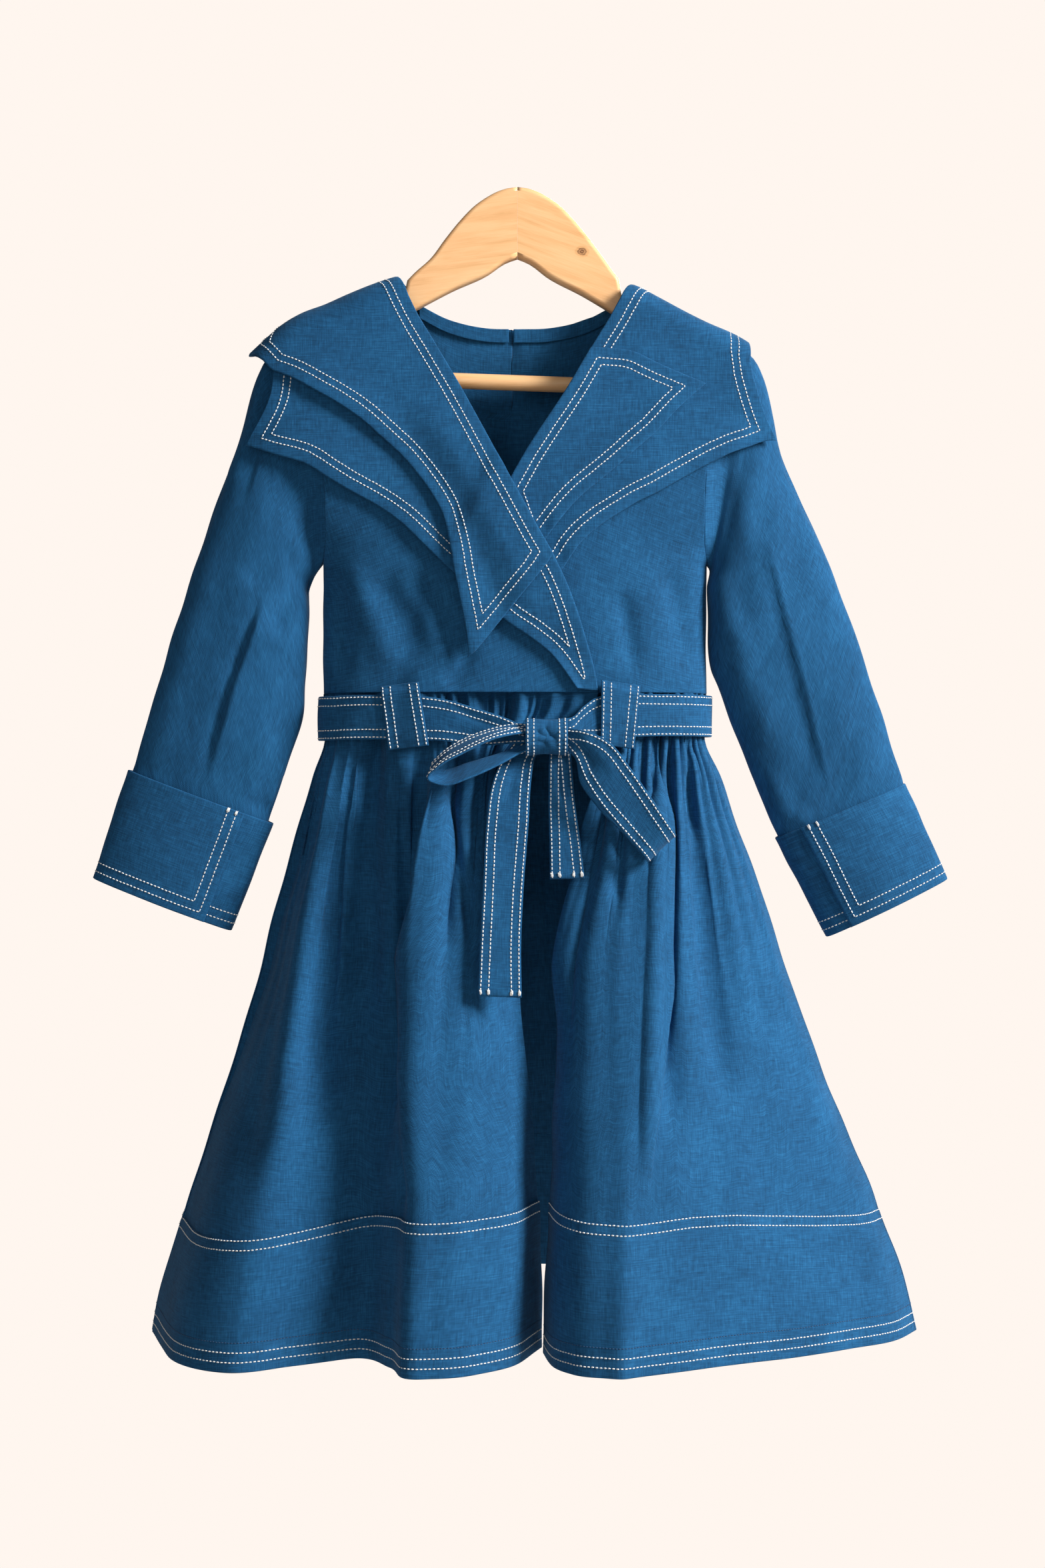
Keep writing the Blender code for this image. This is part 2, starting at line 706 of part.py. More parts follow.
SPLIT_LEFT = (  # way down from the waist to the hem, x of the front edge
    (0, 50.5), (0.09, 49), (0.16, 44), (0.28, 35), (0.43, 23.3), (0.52, 23), (0.7, 20.5), (0.9, 17), (1, 15.5),
)
FLARE = (  # way down, share of the flare
    (0, 0), (0.04, -0.01), (0.075, -0.005), (0.12, 0.06), (0.165, 0.11), (0.25, 0.21), (0.42, 0.38),
    (0.58, 0.565), (0.75, 0.78), (0.92, 0.95), (1, 1),
)
GATHER = (  # way down, depth of the gathers
    (0, 0.9), (0.035, 2.0), (0.085, 1.8), (0.15, 2.6), (0.24, 2.0), (0.36, 1.2), (0.5, 0.5), (0.62, 0), (1, 0),
)
BAND_SHARE = 0.785
SKIRT_LENGTH = 370.0
SPLIT_REACH = 0.45    # the share of a front that its split edge pulls along
FOLD_FADE = (0.06, 0.12)  # the way that a fold takes to set in and to die out
FOLDS = (  # panel, place on the waist, depth inward, width, first way down, last way down
    ("right", 0.755, 9.0, 0.030, 0.02, 0.55),
    ("right", 0.47, 5.0, 0.025, 0.02, 0.40),
    ("right", 0.60, 5.0, 0.020, 0.05, 0.80),
    ("left", 0.45, -4.0, 0.030, 0.10, 0.74),
    ("left", 0.55, 4.0, 0.035, 0.05, 0.70),
    ("left", 0.10, 3.0, 0.030, 0.12, 0.33),
    ("left", 0.70, 5.0, 0.040, 0.10, 0.66),
    ("back", 0.22, 7.0, 0.025, 0.02, 0.60),
    ("back", 0.41, 8.0, 0.025, 0.02, 0.55),
    ("back", 0.63, 7.0, 0.025, 0.02, 0.62),
    ("back", 0.80, 6.0, 0.025, 0.02, 0.50),
)
SKIRT_DOWN = (0, 0.035, 0.08, 0.15, 0.24, 0.35, 0.47, 0.58, 0.69)
BACK_HEM_DEPTH = 78.0
BACK_HEM_WAVE = 8.0
BACK_WAVES = 6


def waist_line(panel):
    """Dense points round the waist for one panel, from its split edge, or the back from right to left."""
    points = []
    if panel == "right":
        for share in shares(60, 2.0):
            x = mix(SPLIT_RIGHT[0][1], -SIDE_RIGHT, share)
            y = -stand_off(x, WAIST_Z, False) - right_lift(x, WAIST_Z)
            points.append((x, min(y, -SEAM / 2)))
    elif panel == "left":
        for share in shares(60, 2.0):
            x = mix(SPLIT_LEFT[0][1], SIDE_LEFT, share)
            points.append((x, min(-stand_off(x, WAIST_Z, False), -SEAM / 2)))
    else:
        middle = (SIDE_LEFT - SIDE_RIGHT) / 2
        for turn in np.linspace(0, math.pi, 81):
            x = middle - (SIDE_LEFT + SIDE_RIGHT) / 2 * math.cos(turn)
            points.append((x, max(stand_off(x, WAIST_Z, True), SEAM / 2)))
    return np.array(points)


def at_share(points, share):
    """The point at a share of a line's length."""
    steps = np.linalg.norm(np.diff(points, axis=0), axis=1)
    way = np.concatenate(([0], np.cumsum(steps)))
    way /= way[-1]
    return np.array([np.interp(share, way, points[:, 0]), np.interp(share, way, points[:, 1])])


def back_hem(share):
    """The hem of the back: x, y, z of the band's top and z of the hem."""
    bulge = math.sin(math.pi * share)
    middle = (HEM_LEFT - HEM_RIGHT) / 2
    x = middle - (HEM_LEFT + HEM_RIGHT) / 2 * math.cos(math.pi * share)
    wave = BACK_HEM_WAVE * math.cos(2 * math.pi * BACK_WAVES * share) * min(3 * bulge, 1)
    return x, BACK_HEM_DEPTH * bulge ** 0.75 + wave * bulge + SEAM / 2, -603 + 37 * bulge, -670 + 21 * bulge


def skirt_columns(panel, count):
    """Columns of a panel: share of the waist, place on the waist, place on the hem and the two heights."""
    line = waist_line(panel)
    if panel == "back":
        tables = [(s, *back_hem(s)) for s in np.linspace(0, 1, 81)]
    else:
        rows = SKIRT_RIGHT if panel == "right" else SKIRT_LEFT
        tables = [(s, *read(rows, s)) for s in np.linspace(0, 1, 81)]
    tables = np.array(tables)
    steps = np.linalg.norm(np.diff(tables[:, 1:3], axis=0), axis=1)
    hem_way = np.concatenate(([0], np.cumsum(steps)))
    blend = 0.5 * tables[:, 0] + 0.5 * hem_way / hem_way[-1]
    columns = []
    for k in range(count):
        share = float(np.interp(k / (count - 1), blend, tables[:, 0]))
        row = back_hem(share) if panel == "back" else read(rows, share)
        columns.append((share, at_share(line, share), np.array(row[:2]), row[2], row[3]))
    return columns


def skirt_row(panel, columns, down, level):
    """One row of a panel: down is the way from waist to hem, level picks its height in each column."""
    flare = float(read(FLARE, down)[0])
    base = np.array([mix(waist, hem, flare) for _, waist, hem, _, _ in columns])
    split = SPLIT_RIGHT if panel == "right" else SPLIT_LEFT
    if panel != "back":
        shift = float(read(split, down)[0]) - base[0][0]
        for k, (share, _, _, _, _) in enumerate(columns):
            base[k][0] += shift * (1 - ease(share / SPLIT_REACH))
    along = np.gradient(base, axis=0)
    along /= np.linalg.norm(along, axis=1)[:, None]
    turn = -1 if panel == "left" else 1
    outward = np.stack((-along[:, 1], along[:, 0]), axis=1) * turn
    gather = float(read(GATHER, down)[0])
    row = []
    for k, (share, _, _, band_z, hem_z) in enumerate(columns):
        inward = 0.0
        if 0 < k < len(columns) - 1:
            space = np.linalg.norm(base[k + 1] - base[k - 1]) / 2
            uneven = 0.75 + 0.25 * math.sin(k * 2.4)
            edge = min(k, len(columns) - 1 - k, 3) / 3
            inward = min(gather * uneven, 0.8 * space) * edge * (k % 2)
            for name, place, depth, width, first, last in FOLDS:
                if name == panel:
                    reach = ease((down - first) / FOLD_FADE[0]) * ease((last - down) / FOLD_FADE[1])
                    inward += depth * reach * math.exp(-((share - place) / width) ** 2)
        x, y = base[k] - outward[k] * inward
        row.append((x, y, level(band_z, hem_z)))
    return row


def skirt(name, band_name, panel, count, facing):
    """A skirt panel and its hem band, on the same columns."""
    columns = skirt_columns(panel, count)
    grid = []
    for down in SKIRT_DOWN:
        share = down / BAND_SHARE
        grid.append(skirt_row(panel, columns, down, lambda band_z, hem_z: mix(SKIRT_TOP_Z, band_z, share)))
    grid.append(skirt_row(panel, columns, BAND_SHARE, lambda band_z, hem_z: band_z))
    cloth(name, grid, facing)
    band = []
    for share in (0, 0.5, 1):
        down = mix(BAND_SHARE + SEAM / SKIRT_LENGTH, 1, share)
        band.append(skirt_row(panel, columns, down, lambda band_z, hem_z: mix(band_z - SEAM, hem_z, share)))
    cloth(band_name, band, facing, wall=WALL + 0.2)


skirt("skirt_front_right", "hem_band_front_right", "right", 31, (0, -1, 0))
skirt("skirt_front_left", "hem_band_front_left", "left", 25, (0, -1, 0))
skirt("skirt_back", "hem_band_back", "back", 41, (0, 1, 0))


# Belt: a band round the waist that sags to the knot, held by two wide loops
BELT_LIFT = WALL + 1.1
KNOT = (16.6, -46.5, -322.8)
KNOT_SIZE = (24.0, 14.0, 21.0)
BELT_EDGES = (  # x on the front, z of the upper edge, z of the lower edge, distance forward of the waist
    (-113, -298.6, -324.2, 0),
    (-80, -298.4, -323.8, 0),
    (-54.6, -299.2, -324.6, 0),
    (-41.7, -301, -325, 0.6),
    (-23, -306.4, -327.5, 2.5),
    (-5.6, -312.2, -326.8, 5),
    (3.8, -316.5, -326.2, 6.6),
)
BELT_EDGES_LEFT = (  # the same, on the left of the knot
    (29.4, -312, -325, 7),
    (37, -305.5, -324.6, 4.5),
    (45.4, -299.8, -324.4, 2),
    (60, -298.2, -323, 0.5),
    (85, -297.8, -322, 0),
    (110, -298, -322, 0),
)
BELT_BELLY = 0.3      # how far the belt's middle line stands out on the front
BELT_RIGHT_XS = (3.8, -1, -8, -16, -25, -34, -43, -52, -61, -70, -79, -87, -94, -100)
BELT_RIGHT_SHARES = (0.9, 0.94, 0.975)
BELT_BACK_SHARES = (0, 0.02, 0.05, 0.09, 0.15, 0.22, 0.3, 0.38, 0.46, 0.54, 0.62, 0.7, 0.78, 0.85, 0.91, 0.95,
                    0.98, 1)
BELT_LEFT_SHARES = (0.94, 0.86, 0.78)
BELT_LEFT_XS = (96, 88, 79, 70, 61, 53, 45, 37, 29.4)
BELT_Z_RIGHT = (-298.6, -324.2)
BELT_Z_LEFT = (-298, -322)


def belt_side(panel, share):
    """A place on the belt's line round the side and back, stood off from the waist."""
    line = waist_line(panel)
    here = at_share(line, share)
    along = at_share(line, min(share + 0.01, 1)) - at_share(line, max(share - 0.01, 0))
    along /= np.linalg.norm(along)
    outward = np.array((-along[1], along[0]))
    if outward @ here < 0:
        outward = -outward
    return here + outward * BELT_LIFT


def belt_front(x):
    """The belt's place on the front: y, and z of its upper and lower edges."""
    top, low, forward = read(BELT_EDGES if x < KNOT[0] else BELT_EDGES_LEFT, x)
    layers = right_lift(x, WAIST_Z) if x < KNOT[0] else 0.0
    return -stand_off(x, WAIST_Z, False) - layers - BELT_LIFT - forward, top, low


def belt():
    """The belt as one strip: knot, right side, back, left side, knot."""
    path = [(x, *belt_front(x)) for x in BELT_RIGHT_XS]
    path += [(*belt_side("right", share), *BELT_Z_RIGHT) for share in BELT_RIGHT_SHARES]
    for share in BELT_BACK_SHARES:
        path.append((*belt_side("back", share), *mix(np.array(BELT_Z_RIGHT), np.array(BELT_Z_LEFT), share)))
    path += [(*belt_side("left", share), *BELT_Z_LEFT) for share in BELT_LEFT_SHARES]
    path += [(x, *belt_front(x)) for x in BELT_LEFT_XS]
    grid = [[(x, y, top) for x, y, top, low in path],
            [(x, y - BELT_BELLY * (y < 0), mix(top, low, 0.5)) for x, y, top, low in path],
            [(x, y, low) for x, y, top, low in path]]
    return cloth("belt", grid, (0, 1, 0))


belt()

LOOP_LIFT = PITCH + 0.2
LOOP_HEIGHTS = (  # share of the way down, distance forward of the belt
    (0, -2.4), (0.05, -2.2), (0.12, 0.2), (0.5, 0.3), (0.85, 0.1), (0.93, -0.3), (1, -0.7),
)


def belt_loop(name, corners):
    """A wide loop over the belt: corners are the x and z of its top and bottom, left and right."""
    (x0, z0), (x1, z1), (x2, z2), (x3, z3) = corners
    grid = []
    for down, forward in LOOP_HEIGHTS:
        row = []
        for share in (0, 0.33, 0.67, 1):
            x = mix(mix(x0, x1, share), mix(x3, x2, share), down)
            z = mix(mix(z0, z1, share), mix(z3, z2, share), down)
            y = belt_front(x)[0] - LOOP_LIFT - forward
            row.append((x, y, z))
        grid.append(row)
    return cloth(name, grid, (0, -1, 0))


belt_loop("belt_loop_right", ((-78.6, -293.5), (-56.5, -291), (-50.4, -327.4), (-73.7, -330)))
belt_loop("belt_loop_left", ((48, -290), (70.5, -293), (67, -329.5), (47.2, -327)))


# Bow: a knot, two loops and two tails, as they hang
def ribbon(name, rows, count, facing, across=3):
    """A strip through pairs of edge points, read smoothly along its length."""
    table = [(k, *row) for k, row in enumerate(rows)]
    grid = []
    for k in range(count):
        point = read(table, k * (len(rows) - 1) / (count - 1))
        row = [mix(point[:3], point[3:], share / (across - 1)) for share in range(across)]
        grid.append(row)
    return cloth(name, grid, facing)


def knot():
    """The knot: a short tube along X that pinches the strips."""
    grid = []
    for along in (-1, -0.5, 0, 0.5, 1):
        size = 0.93 + 0.07 * along * along
        ring = []
        for k in range(14):
            angle = 2 * math.pi * k / 14
            ring.append((KNOT[0] + along * KNOT_SIZE[0] / 2,
                         KNOT[1] + math.cos(angle) * (KNOT_SIZE[1] / 2 - WALL) * size,
                         KNOT[2] + math.sin(angle) * (KNOT_SIZE[2] / 2 - WALL) * size))
        grid.append(ring)
    return cloth("bow_knot", grid, (0, -1, 0), tube=True)


knot()

BOW_LOOP_RIGHT = (  # far edge x, y, z, near edge x, y, z
    (7, -44, -316.5, 7, -49, -320.5),
    (-12, -44, -318.5, -12, -60, -324.5),
    (-30, -45, -325, -30, -65, -332.5),
    (-43, -47, -333, -45, -66, -341),
    (-47.5, -48, -338.5, -49.5, -66, -346.5),
    (-42, -48, -341.5, -42, -64, -349.5),
    (-28, -47, -337.5, -28, -62, -346),
    (-12, -46, -332.5, -12, -57, -339),
    (3, -45, -327, 3, -49.5, -331),
)
ribbon("bow_loop_right", BOW_LOOP_RIGHT, 19, (0, 0, 1))

BOW_LOOP_LEFT = (  # upper edge x, y, z, lower edge x, y, z
    (29.3, -49, -318, 29.3, -48.5, -329),
    (38, -53, -319.5, 33, -51.5, -334),
    (52, -56, -326, 38, -54, -346.5),
    (63, -58, -339.5, 47, -56, -361),
    (76, -59, -358, 59, -57, -375.5),
    (88, -58, -376, 72, -56, -391),
    (89, -54, -377.5, 73, -52, -392.5),
    (77, -51, -360, 60, -49, -378),
    (62, -49, -341, 46, -47, -363.5),
    (48, -47, -330, 36, -45, -349.5),
    (31, -45, -322, 31, -44, -333),
)
ribbon("bow_loop_left", BOW_LOOP_LEFT, 21, (0, -1, 0))

TAIL_RIGHT = (  # left edge x, y, z, right edge x, y, z
    (-2, -37, -326, 16, -37, -325),
    (-9.5, -40, -338, 10.5, -40, -334),
    (-14.5, -45, -351, 8, -45, -348),
    (-17.5, -52, -372, 6.5, -52, -371),
    (-19, -61, -404, 4, -61, -403),
    (-20.5, -68, -436, 2.3, -68, -436),
    (-21.8, -75, -467, 2.5, -75, -468),
)
ribbon("belt_tail_right", TAIL_RIGHT, 11, (0, -1, 0))

TAIL_LEFT = (  # left edge x, y, z, right edge x, y, z
    (18.8, -37, -328, 29.5, -37, -326),
    (18.2, -39, -336, 30.6, -39, -334),
    (17.8, -42, -361, 33, -42, -361),
    (18.3, -46, -384, 36, -46, -384),
    (18.5, -48, -403.5, 38.2, -48, -403),
)
ribbon("belt_tail_left", TAIL_LEFT, 8, (0, -1, 0))


# Back neck: a binding on each side of the slit, a button and its cord loop
BINDING_DEPTH = 8.0


def binding(name, side):
    """A strip inside the back neck edge, from the slit out to the shoulder."""
    grid = []
    for down in (0, 0.5, 1):
        row = []
        for share in shares(8):
            x = mix(SLIT_X + side * (SLIT_WIDTH / 2 + 0.3), side * 47, share)
            run = from_ridge(x, float(read(BACK_NECK, abs(x))[0])) + BINDING_DEPTH * down
            point = surface(x, run)
            row.append((point[0], point[1] - PITCH, point[2]))
        grid.append(row)
    return cloth(name, grid, (0, 1, 0), wall=1.0)


binding("neck_binding_right", -1)
binding("neck_binding_left", 1)

BUTTON = (3.0, -89.0)
BUTTON_RADIUS = 5.0
BUTTON_THICK = 2.4
button_y = surface(BUTTON[0], from_ridge(*BUTTON))[1] + WALL + SEAM
bpy.ops.mesh.primitive_cylinder_add(
    vertices=20, radius=BUTTON_RADIUS * MM, depth=BUTTON_THICK * MM,
    location=(BUTTON[0] * MM, (button_y + BUTTON_THICK / 2) * MM, BUTTON[1] * MM), rotation=(math.pi / 2, 0, 0))
button = bpy.context.object
button.name = "back_button"
loosen(button)
button_edge = button.modifiers.new("rounded edge", "BEVEL")
button_edge.width = 0.6 * MM
button_edge.segments = 1
keep(button, "back_button", BUTTON_BLUE, 0.4)

LOOP_CORD_RADIUS = 0.9
LOOP_TAIL = (7.0, 2.0)  # how far the cord runs on to its seam, and half the width between its ends there
cord_y = button_y + BUTTON_THICK / 2
cord_ring = BUTTON_RADIUS + LOOP_CORD_RADIUS + SEAM
tail_x = BUTTON[0] - cord_ring - LOOP_TAIL[0]
cord_path = [(tail_x, cord_y, BUTTON[1] + LOOP_TAIL[1])]
for k in range(9):
    angle = math.radians(mix(130, -130, k / 8))
    cord_path.append((BUTTON[0] + cord_ring * math.cos(angle), cord_y, BUTTON[1] + cord_ring * math.sin(angle)))
cord_path.append((tail_x, cord_y, BUTTON[1] - LOOP_TAIL[1]))
cord_curve = bpy.data.curves.new("button_loop", "CURVE")
cord_curve.dimensions = "3D"
cord_curve.bevel_depth = LOOP_CORD_RADIUS * MM
cord_curve.bevel_resolution = 2
cord_curve.use_fill_caps = True
cord_spline = cord_curve.splines.new("POLY")
cord_spline.points.add(len(cord_path) - 1)
for point, place in zip(cord_spline.points, cord_path):
    point.co = (place[0] * MM, place[1] * MM, place[2] * MM, 1)
cord = bpy.data.objects.new("button_loop", cord_curve)
cord_curve.materials.append(paint("button_loop", DENIM, 0.85))
dress.objects.link(cord)
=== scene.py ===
import math

import bmesh
import bpy
import numpy as np
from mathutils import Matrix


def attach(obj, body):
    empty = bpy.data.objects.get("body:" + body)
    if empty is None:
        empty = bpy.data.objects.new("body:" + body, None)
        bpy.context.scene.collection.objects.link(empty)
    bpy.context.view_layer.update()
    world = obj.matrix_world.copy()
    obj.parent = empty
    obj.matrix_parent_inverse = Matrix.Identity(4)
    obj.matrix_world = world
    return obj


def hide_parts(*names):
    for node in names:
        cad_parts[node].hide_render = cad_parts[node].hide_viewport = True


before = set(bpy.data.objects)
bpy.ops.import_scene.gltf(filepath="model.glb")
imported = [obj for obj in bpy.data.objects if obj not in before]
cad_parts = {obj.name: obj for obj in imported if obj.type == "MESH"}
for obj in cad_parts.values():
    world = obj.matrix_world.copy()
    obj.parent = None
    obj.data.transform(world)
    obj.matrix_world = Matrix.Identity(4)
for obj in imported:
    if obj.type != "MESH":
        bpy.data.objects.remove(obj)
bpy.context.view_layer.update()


# The room: a pale floor that runs off into a pale surround, one wide soft light from the front and the
# right, as from a window, and weak fill from the left and behind. The camera stands level with the bow.
# The room is in metres. The dress and the eye are in millimetres until they go into an object.
MM = 0.001
EYE = (3.0, -1350.0, -349.5)
CREAM = (1.0, 0.922, 0.863, 1)
ROOM_LIGHT = 0.14
FLOOR_Z = -1.1


def aim(thing, place, target):
    thing.location = place
    way = [b - a for a, b in zip(place, target)]
    thing.rotation_euler = (math.atan2(math.hypot(way[0], way[1]), -way[2]), 0, math.atan2(-way[0], way[1]))
    bpy.context.scene.collection.objects.link(thing)


def soft_light(name, place, width, height, watts, colour):
    lamp = bpy.data.lights.new(name, "AREA")
    lamp.shape = "RECTANGLE"
    lamp.size = width
    lamp.size_y = height
    lamp.energy = watts
    lamp.color = colour
    aim(bpy.data.objects.new(name, lamp), place, (0, 0, -0.35))


eye = bpy.data.cameras.new("camera")
eye.lens = 52.84
eye.sensor_width = 36
aim(bpy.data.objects.new("camera", eye), [c * MM for c in EYE], (0.003, 0, -0.3495))
bpy.context.scene.camera = bpy.data.objects["camera"]
bpy.context.scene.view_settings.view_transform = "Standard"

soft_light("window", (1.95, -0.95, 0.75), 0.7, 0.9, 106, (1.0, 0.985, 0.96))
soft_light("front fill", (-0.5, -1.9, 0.2), 1.4, 1.6, 6, (1.0, 0.97, 0.94))
soft_light("back light", (0.9, 1.8, 0.9), 1.2, 1.2, 26, (1.0, 0.99, 0.97))


def seen_pale(tree, glow_strength, other):
    """Show cream to the camera and something else to the light that falls on the dress."""
    nodes = tree.nodes
    ray = nodes.new("ShaderNodeLightPath")
    blend = nodes.new("ShaderNodeMixShader")
    glow = nodes.new("ShaderNodeBackground" if other.type == "BACKGROUND" else "ShaderNodeEmission")
    glow.inputs["Color"].default_value = CREAM
    glow.inputs["Strength"].default_value = glow_strength
    tree.links.new(ray.outputs["Is Camera Ray"], blend.inputs[0])
    tree.links.new(other.outputs[0], blend.inputs[1])
    tree.links.new(glow.outputs[0], blend.inputs[2])
    end = nodes.get("World Output") or nodes.get("Material Output")
    tree.links.new(blend.outputs[0], end.inputs["Surface"])


world = bpy.data.worlds.new("pale surround")
world.use_nodes = True
bpy.context.scene.world = world
surround = world.node_tree.nodes["Background"]
surround.inputs["Color"].default_value = (1.0, 0.97, 0.94, 1)
surround.inputs["Strength"].default_value = ROOM_LIGHT
seen_pale(world.node_tree, 1.0, surround)

floor_mesh = bpy.data.meshes.new("floor")
floor_mesh.from_pydata([(-20, -20, FLOOR_Z), (20, -20, FLOOR_Z), (20, 20, FLOOR_Z), (-20, 20, FLOOR_Z)], [],
                       [(0, 1, 2, 3)])
floor = bpy.data.objects.new("floor", floor_mesh)
bpy.context.scene.collection.objects.link(floor)
pale = bpy.data.materials.new("pale floor")
pale.use_nodes = True
plaster = pale.node_tree.nodes["Principled BSDF"]
plaster.inputs["Base Color"].default_value = (0.5, 0.46, 0.43, 1)
plaster.inputs["Roughness"].default_value = 0.9
seen_pale(pale.node_tree, 1.0, plaster)
floor_mesh.materials.append(pale)


# Hanger: two flat maple arms, sawn to a curve, rounded on the edges and butted at the middle, where a
# small hole is left for a hook. A round maple bar is glued into both. The wood is pale and varnished, and
# has one knot.
def mix(a, b, t):
    return a + (b - a) * t


def ease(t):
    t = np.clip(t, 0.0, 1.0)
    return t * t * (3 - 2 * t)


def read(rows, key):
    """Read a table at a key or keys, along a smooth curve through its rows, whose first column rises."""
    rows = np.array(rows, float)
    keys, values = rows[:, 0], rows[:, 1:]
    slopes = np.gradient(values, keys, axis=0)
    key = np.clip(np.asarray(key, float), keys[0], keys[-1])
    i = np.clip(np.searchsorted(keys, key), 1, len(keys) - 1)
    span = (keys[i] - keys[i - 1])[..., None]
    t = (key[..., None] - keys[i - 1][..., None]) / span
    rise = values[i] - values[i - 1]
    start, end = slopes[i - 1] * span, slopes[i] * span
    bend = (3 * rise - 2 * start - end) * t ** 2
    return values[i - 1] + start * t + bend + (start + end - 2 * rise) * t ** 3


RIDGE = (  # the shoulder line: distance from the middle, z on the right, z on the left
    (0, -57, -57), (50, -57, -57), (67, -57.6, -60), (80, -61.5, -66.8), (96, -68, -75), (110, -74, -82),
    (125, -79.5, -89.5), (134, -85, -95), (143, -93, -101), (150, -100, -108), (165, -116, -124),
)


def ridge(x):
    heights = read(RIDGE, np.abs(x))
    return np.where(np.asarray(x) < 0, heights[..., 0], heights[..., 1])


ARM_THICK = 10.0
EDGE_ROUND = 2.6
JOINT_GAP = 0.03
ARM_TOP = ((0, 0), (6, -0.8), (12.3, -2.9), (18, -6), (24.4, -10.4), (33.4, -19.4), (42.4, -30.5), (51, -42))
ARM_NECK = (  # distance out and z on the right, distance out and z on the left
    (60, -50, 55.5, -48.4), (64.5, -54.6, 59.5, -53.6), (66.4, -63.4, 61.4, -64.2),
)
ARM_END = (  # distance out, distance below the shoulder line
    (80, 1.7), (96, 1.7), (110, 1.7), (117, 2.4), (121, 5), (123.5, 11), (124, 19), (121.5, 27), (117.5, 32),
)
ARM_UNDER = (
    (112, -115.5), (112, -100.5), (98, -92.5), (80, -82.5), (59, -71.4), (37.7, -60.2), (18.2, -51.4),
    (6, -43.4), (0, -41.4),
)
BAR_SEAT = 112.0
BAR_Z = -110.2
BAR_RADIUS = 4.6
BAR_DROP = float(ridge(BAR_SEAT) - ridge(-BAR_SEAT))
HOOK_HOLE = (1.6, 25.0)
KNOT_PLACE = (0.0378, -0.0383)  # in metres


def link(tree, source, target):
    tree.links.new(source, target)


def node(tree, kind, **values):
    """Add a node and set its inputs by name."""
    made = tree.nodes.new(kind)
    for name, value in values.items():
        key = name.replace("_", " ")
        if key in made.inputs:
            made.inputs[key].default_value = value
        else:
            setattr(made, name, value)
    return made


def ramp(tree, source, stops):
    """A colour ramp from a short list of place and colour."""
    band = node(tree, "ShaderNodeValToRGB")
    elements = band.color_ramp.elements
    while len(elements) < len(stops):
        elements.new(0.5)
    for element, (place, colour) in zip(elements, stops):
        element.position = place
        element.color = (*colour, 1)
    link(tree, source, band.inputs["Fac"])
    return band.outputs["Color"]


def blank(name, roughness):
    material = bpy.data.materials.new(name)
    material.use_nodes = True
    shader = material.node_tree.nodes["Principled BSDF"]
    shader.inputs["Roughness"].default_value = roughness
    return material, material.node_tree, shader


def calc(tree, operation, a, b):
    """A maths node on sockets or plain numbers."""
    made = node(tree, "ShaderNodeMath", operation=operation)
    for slot, value in zip(made.inputs, (a, b)):
        if isinstance(value, (int, float)):
            slot.default_value = value
        else:
            link(tree, value, slot)
    return made.outputs[0]


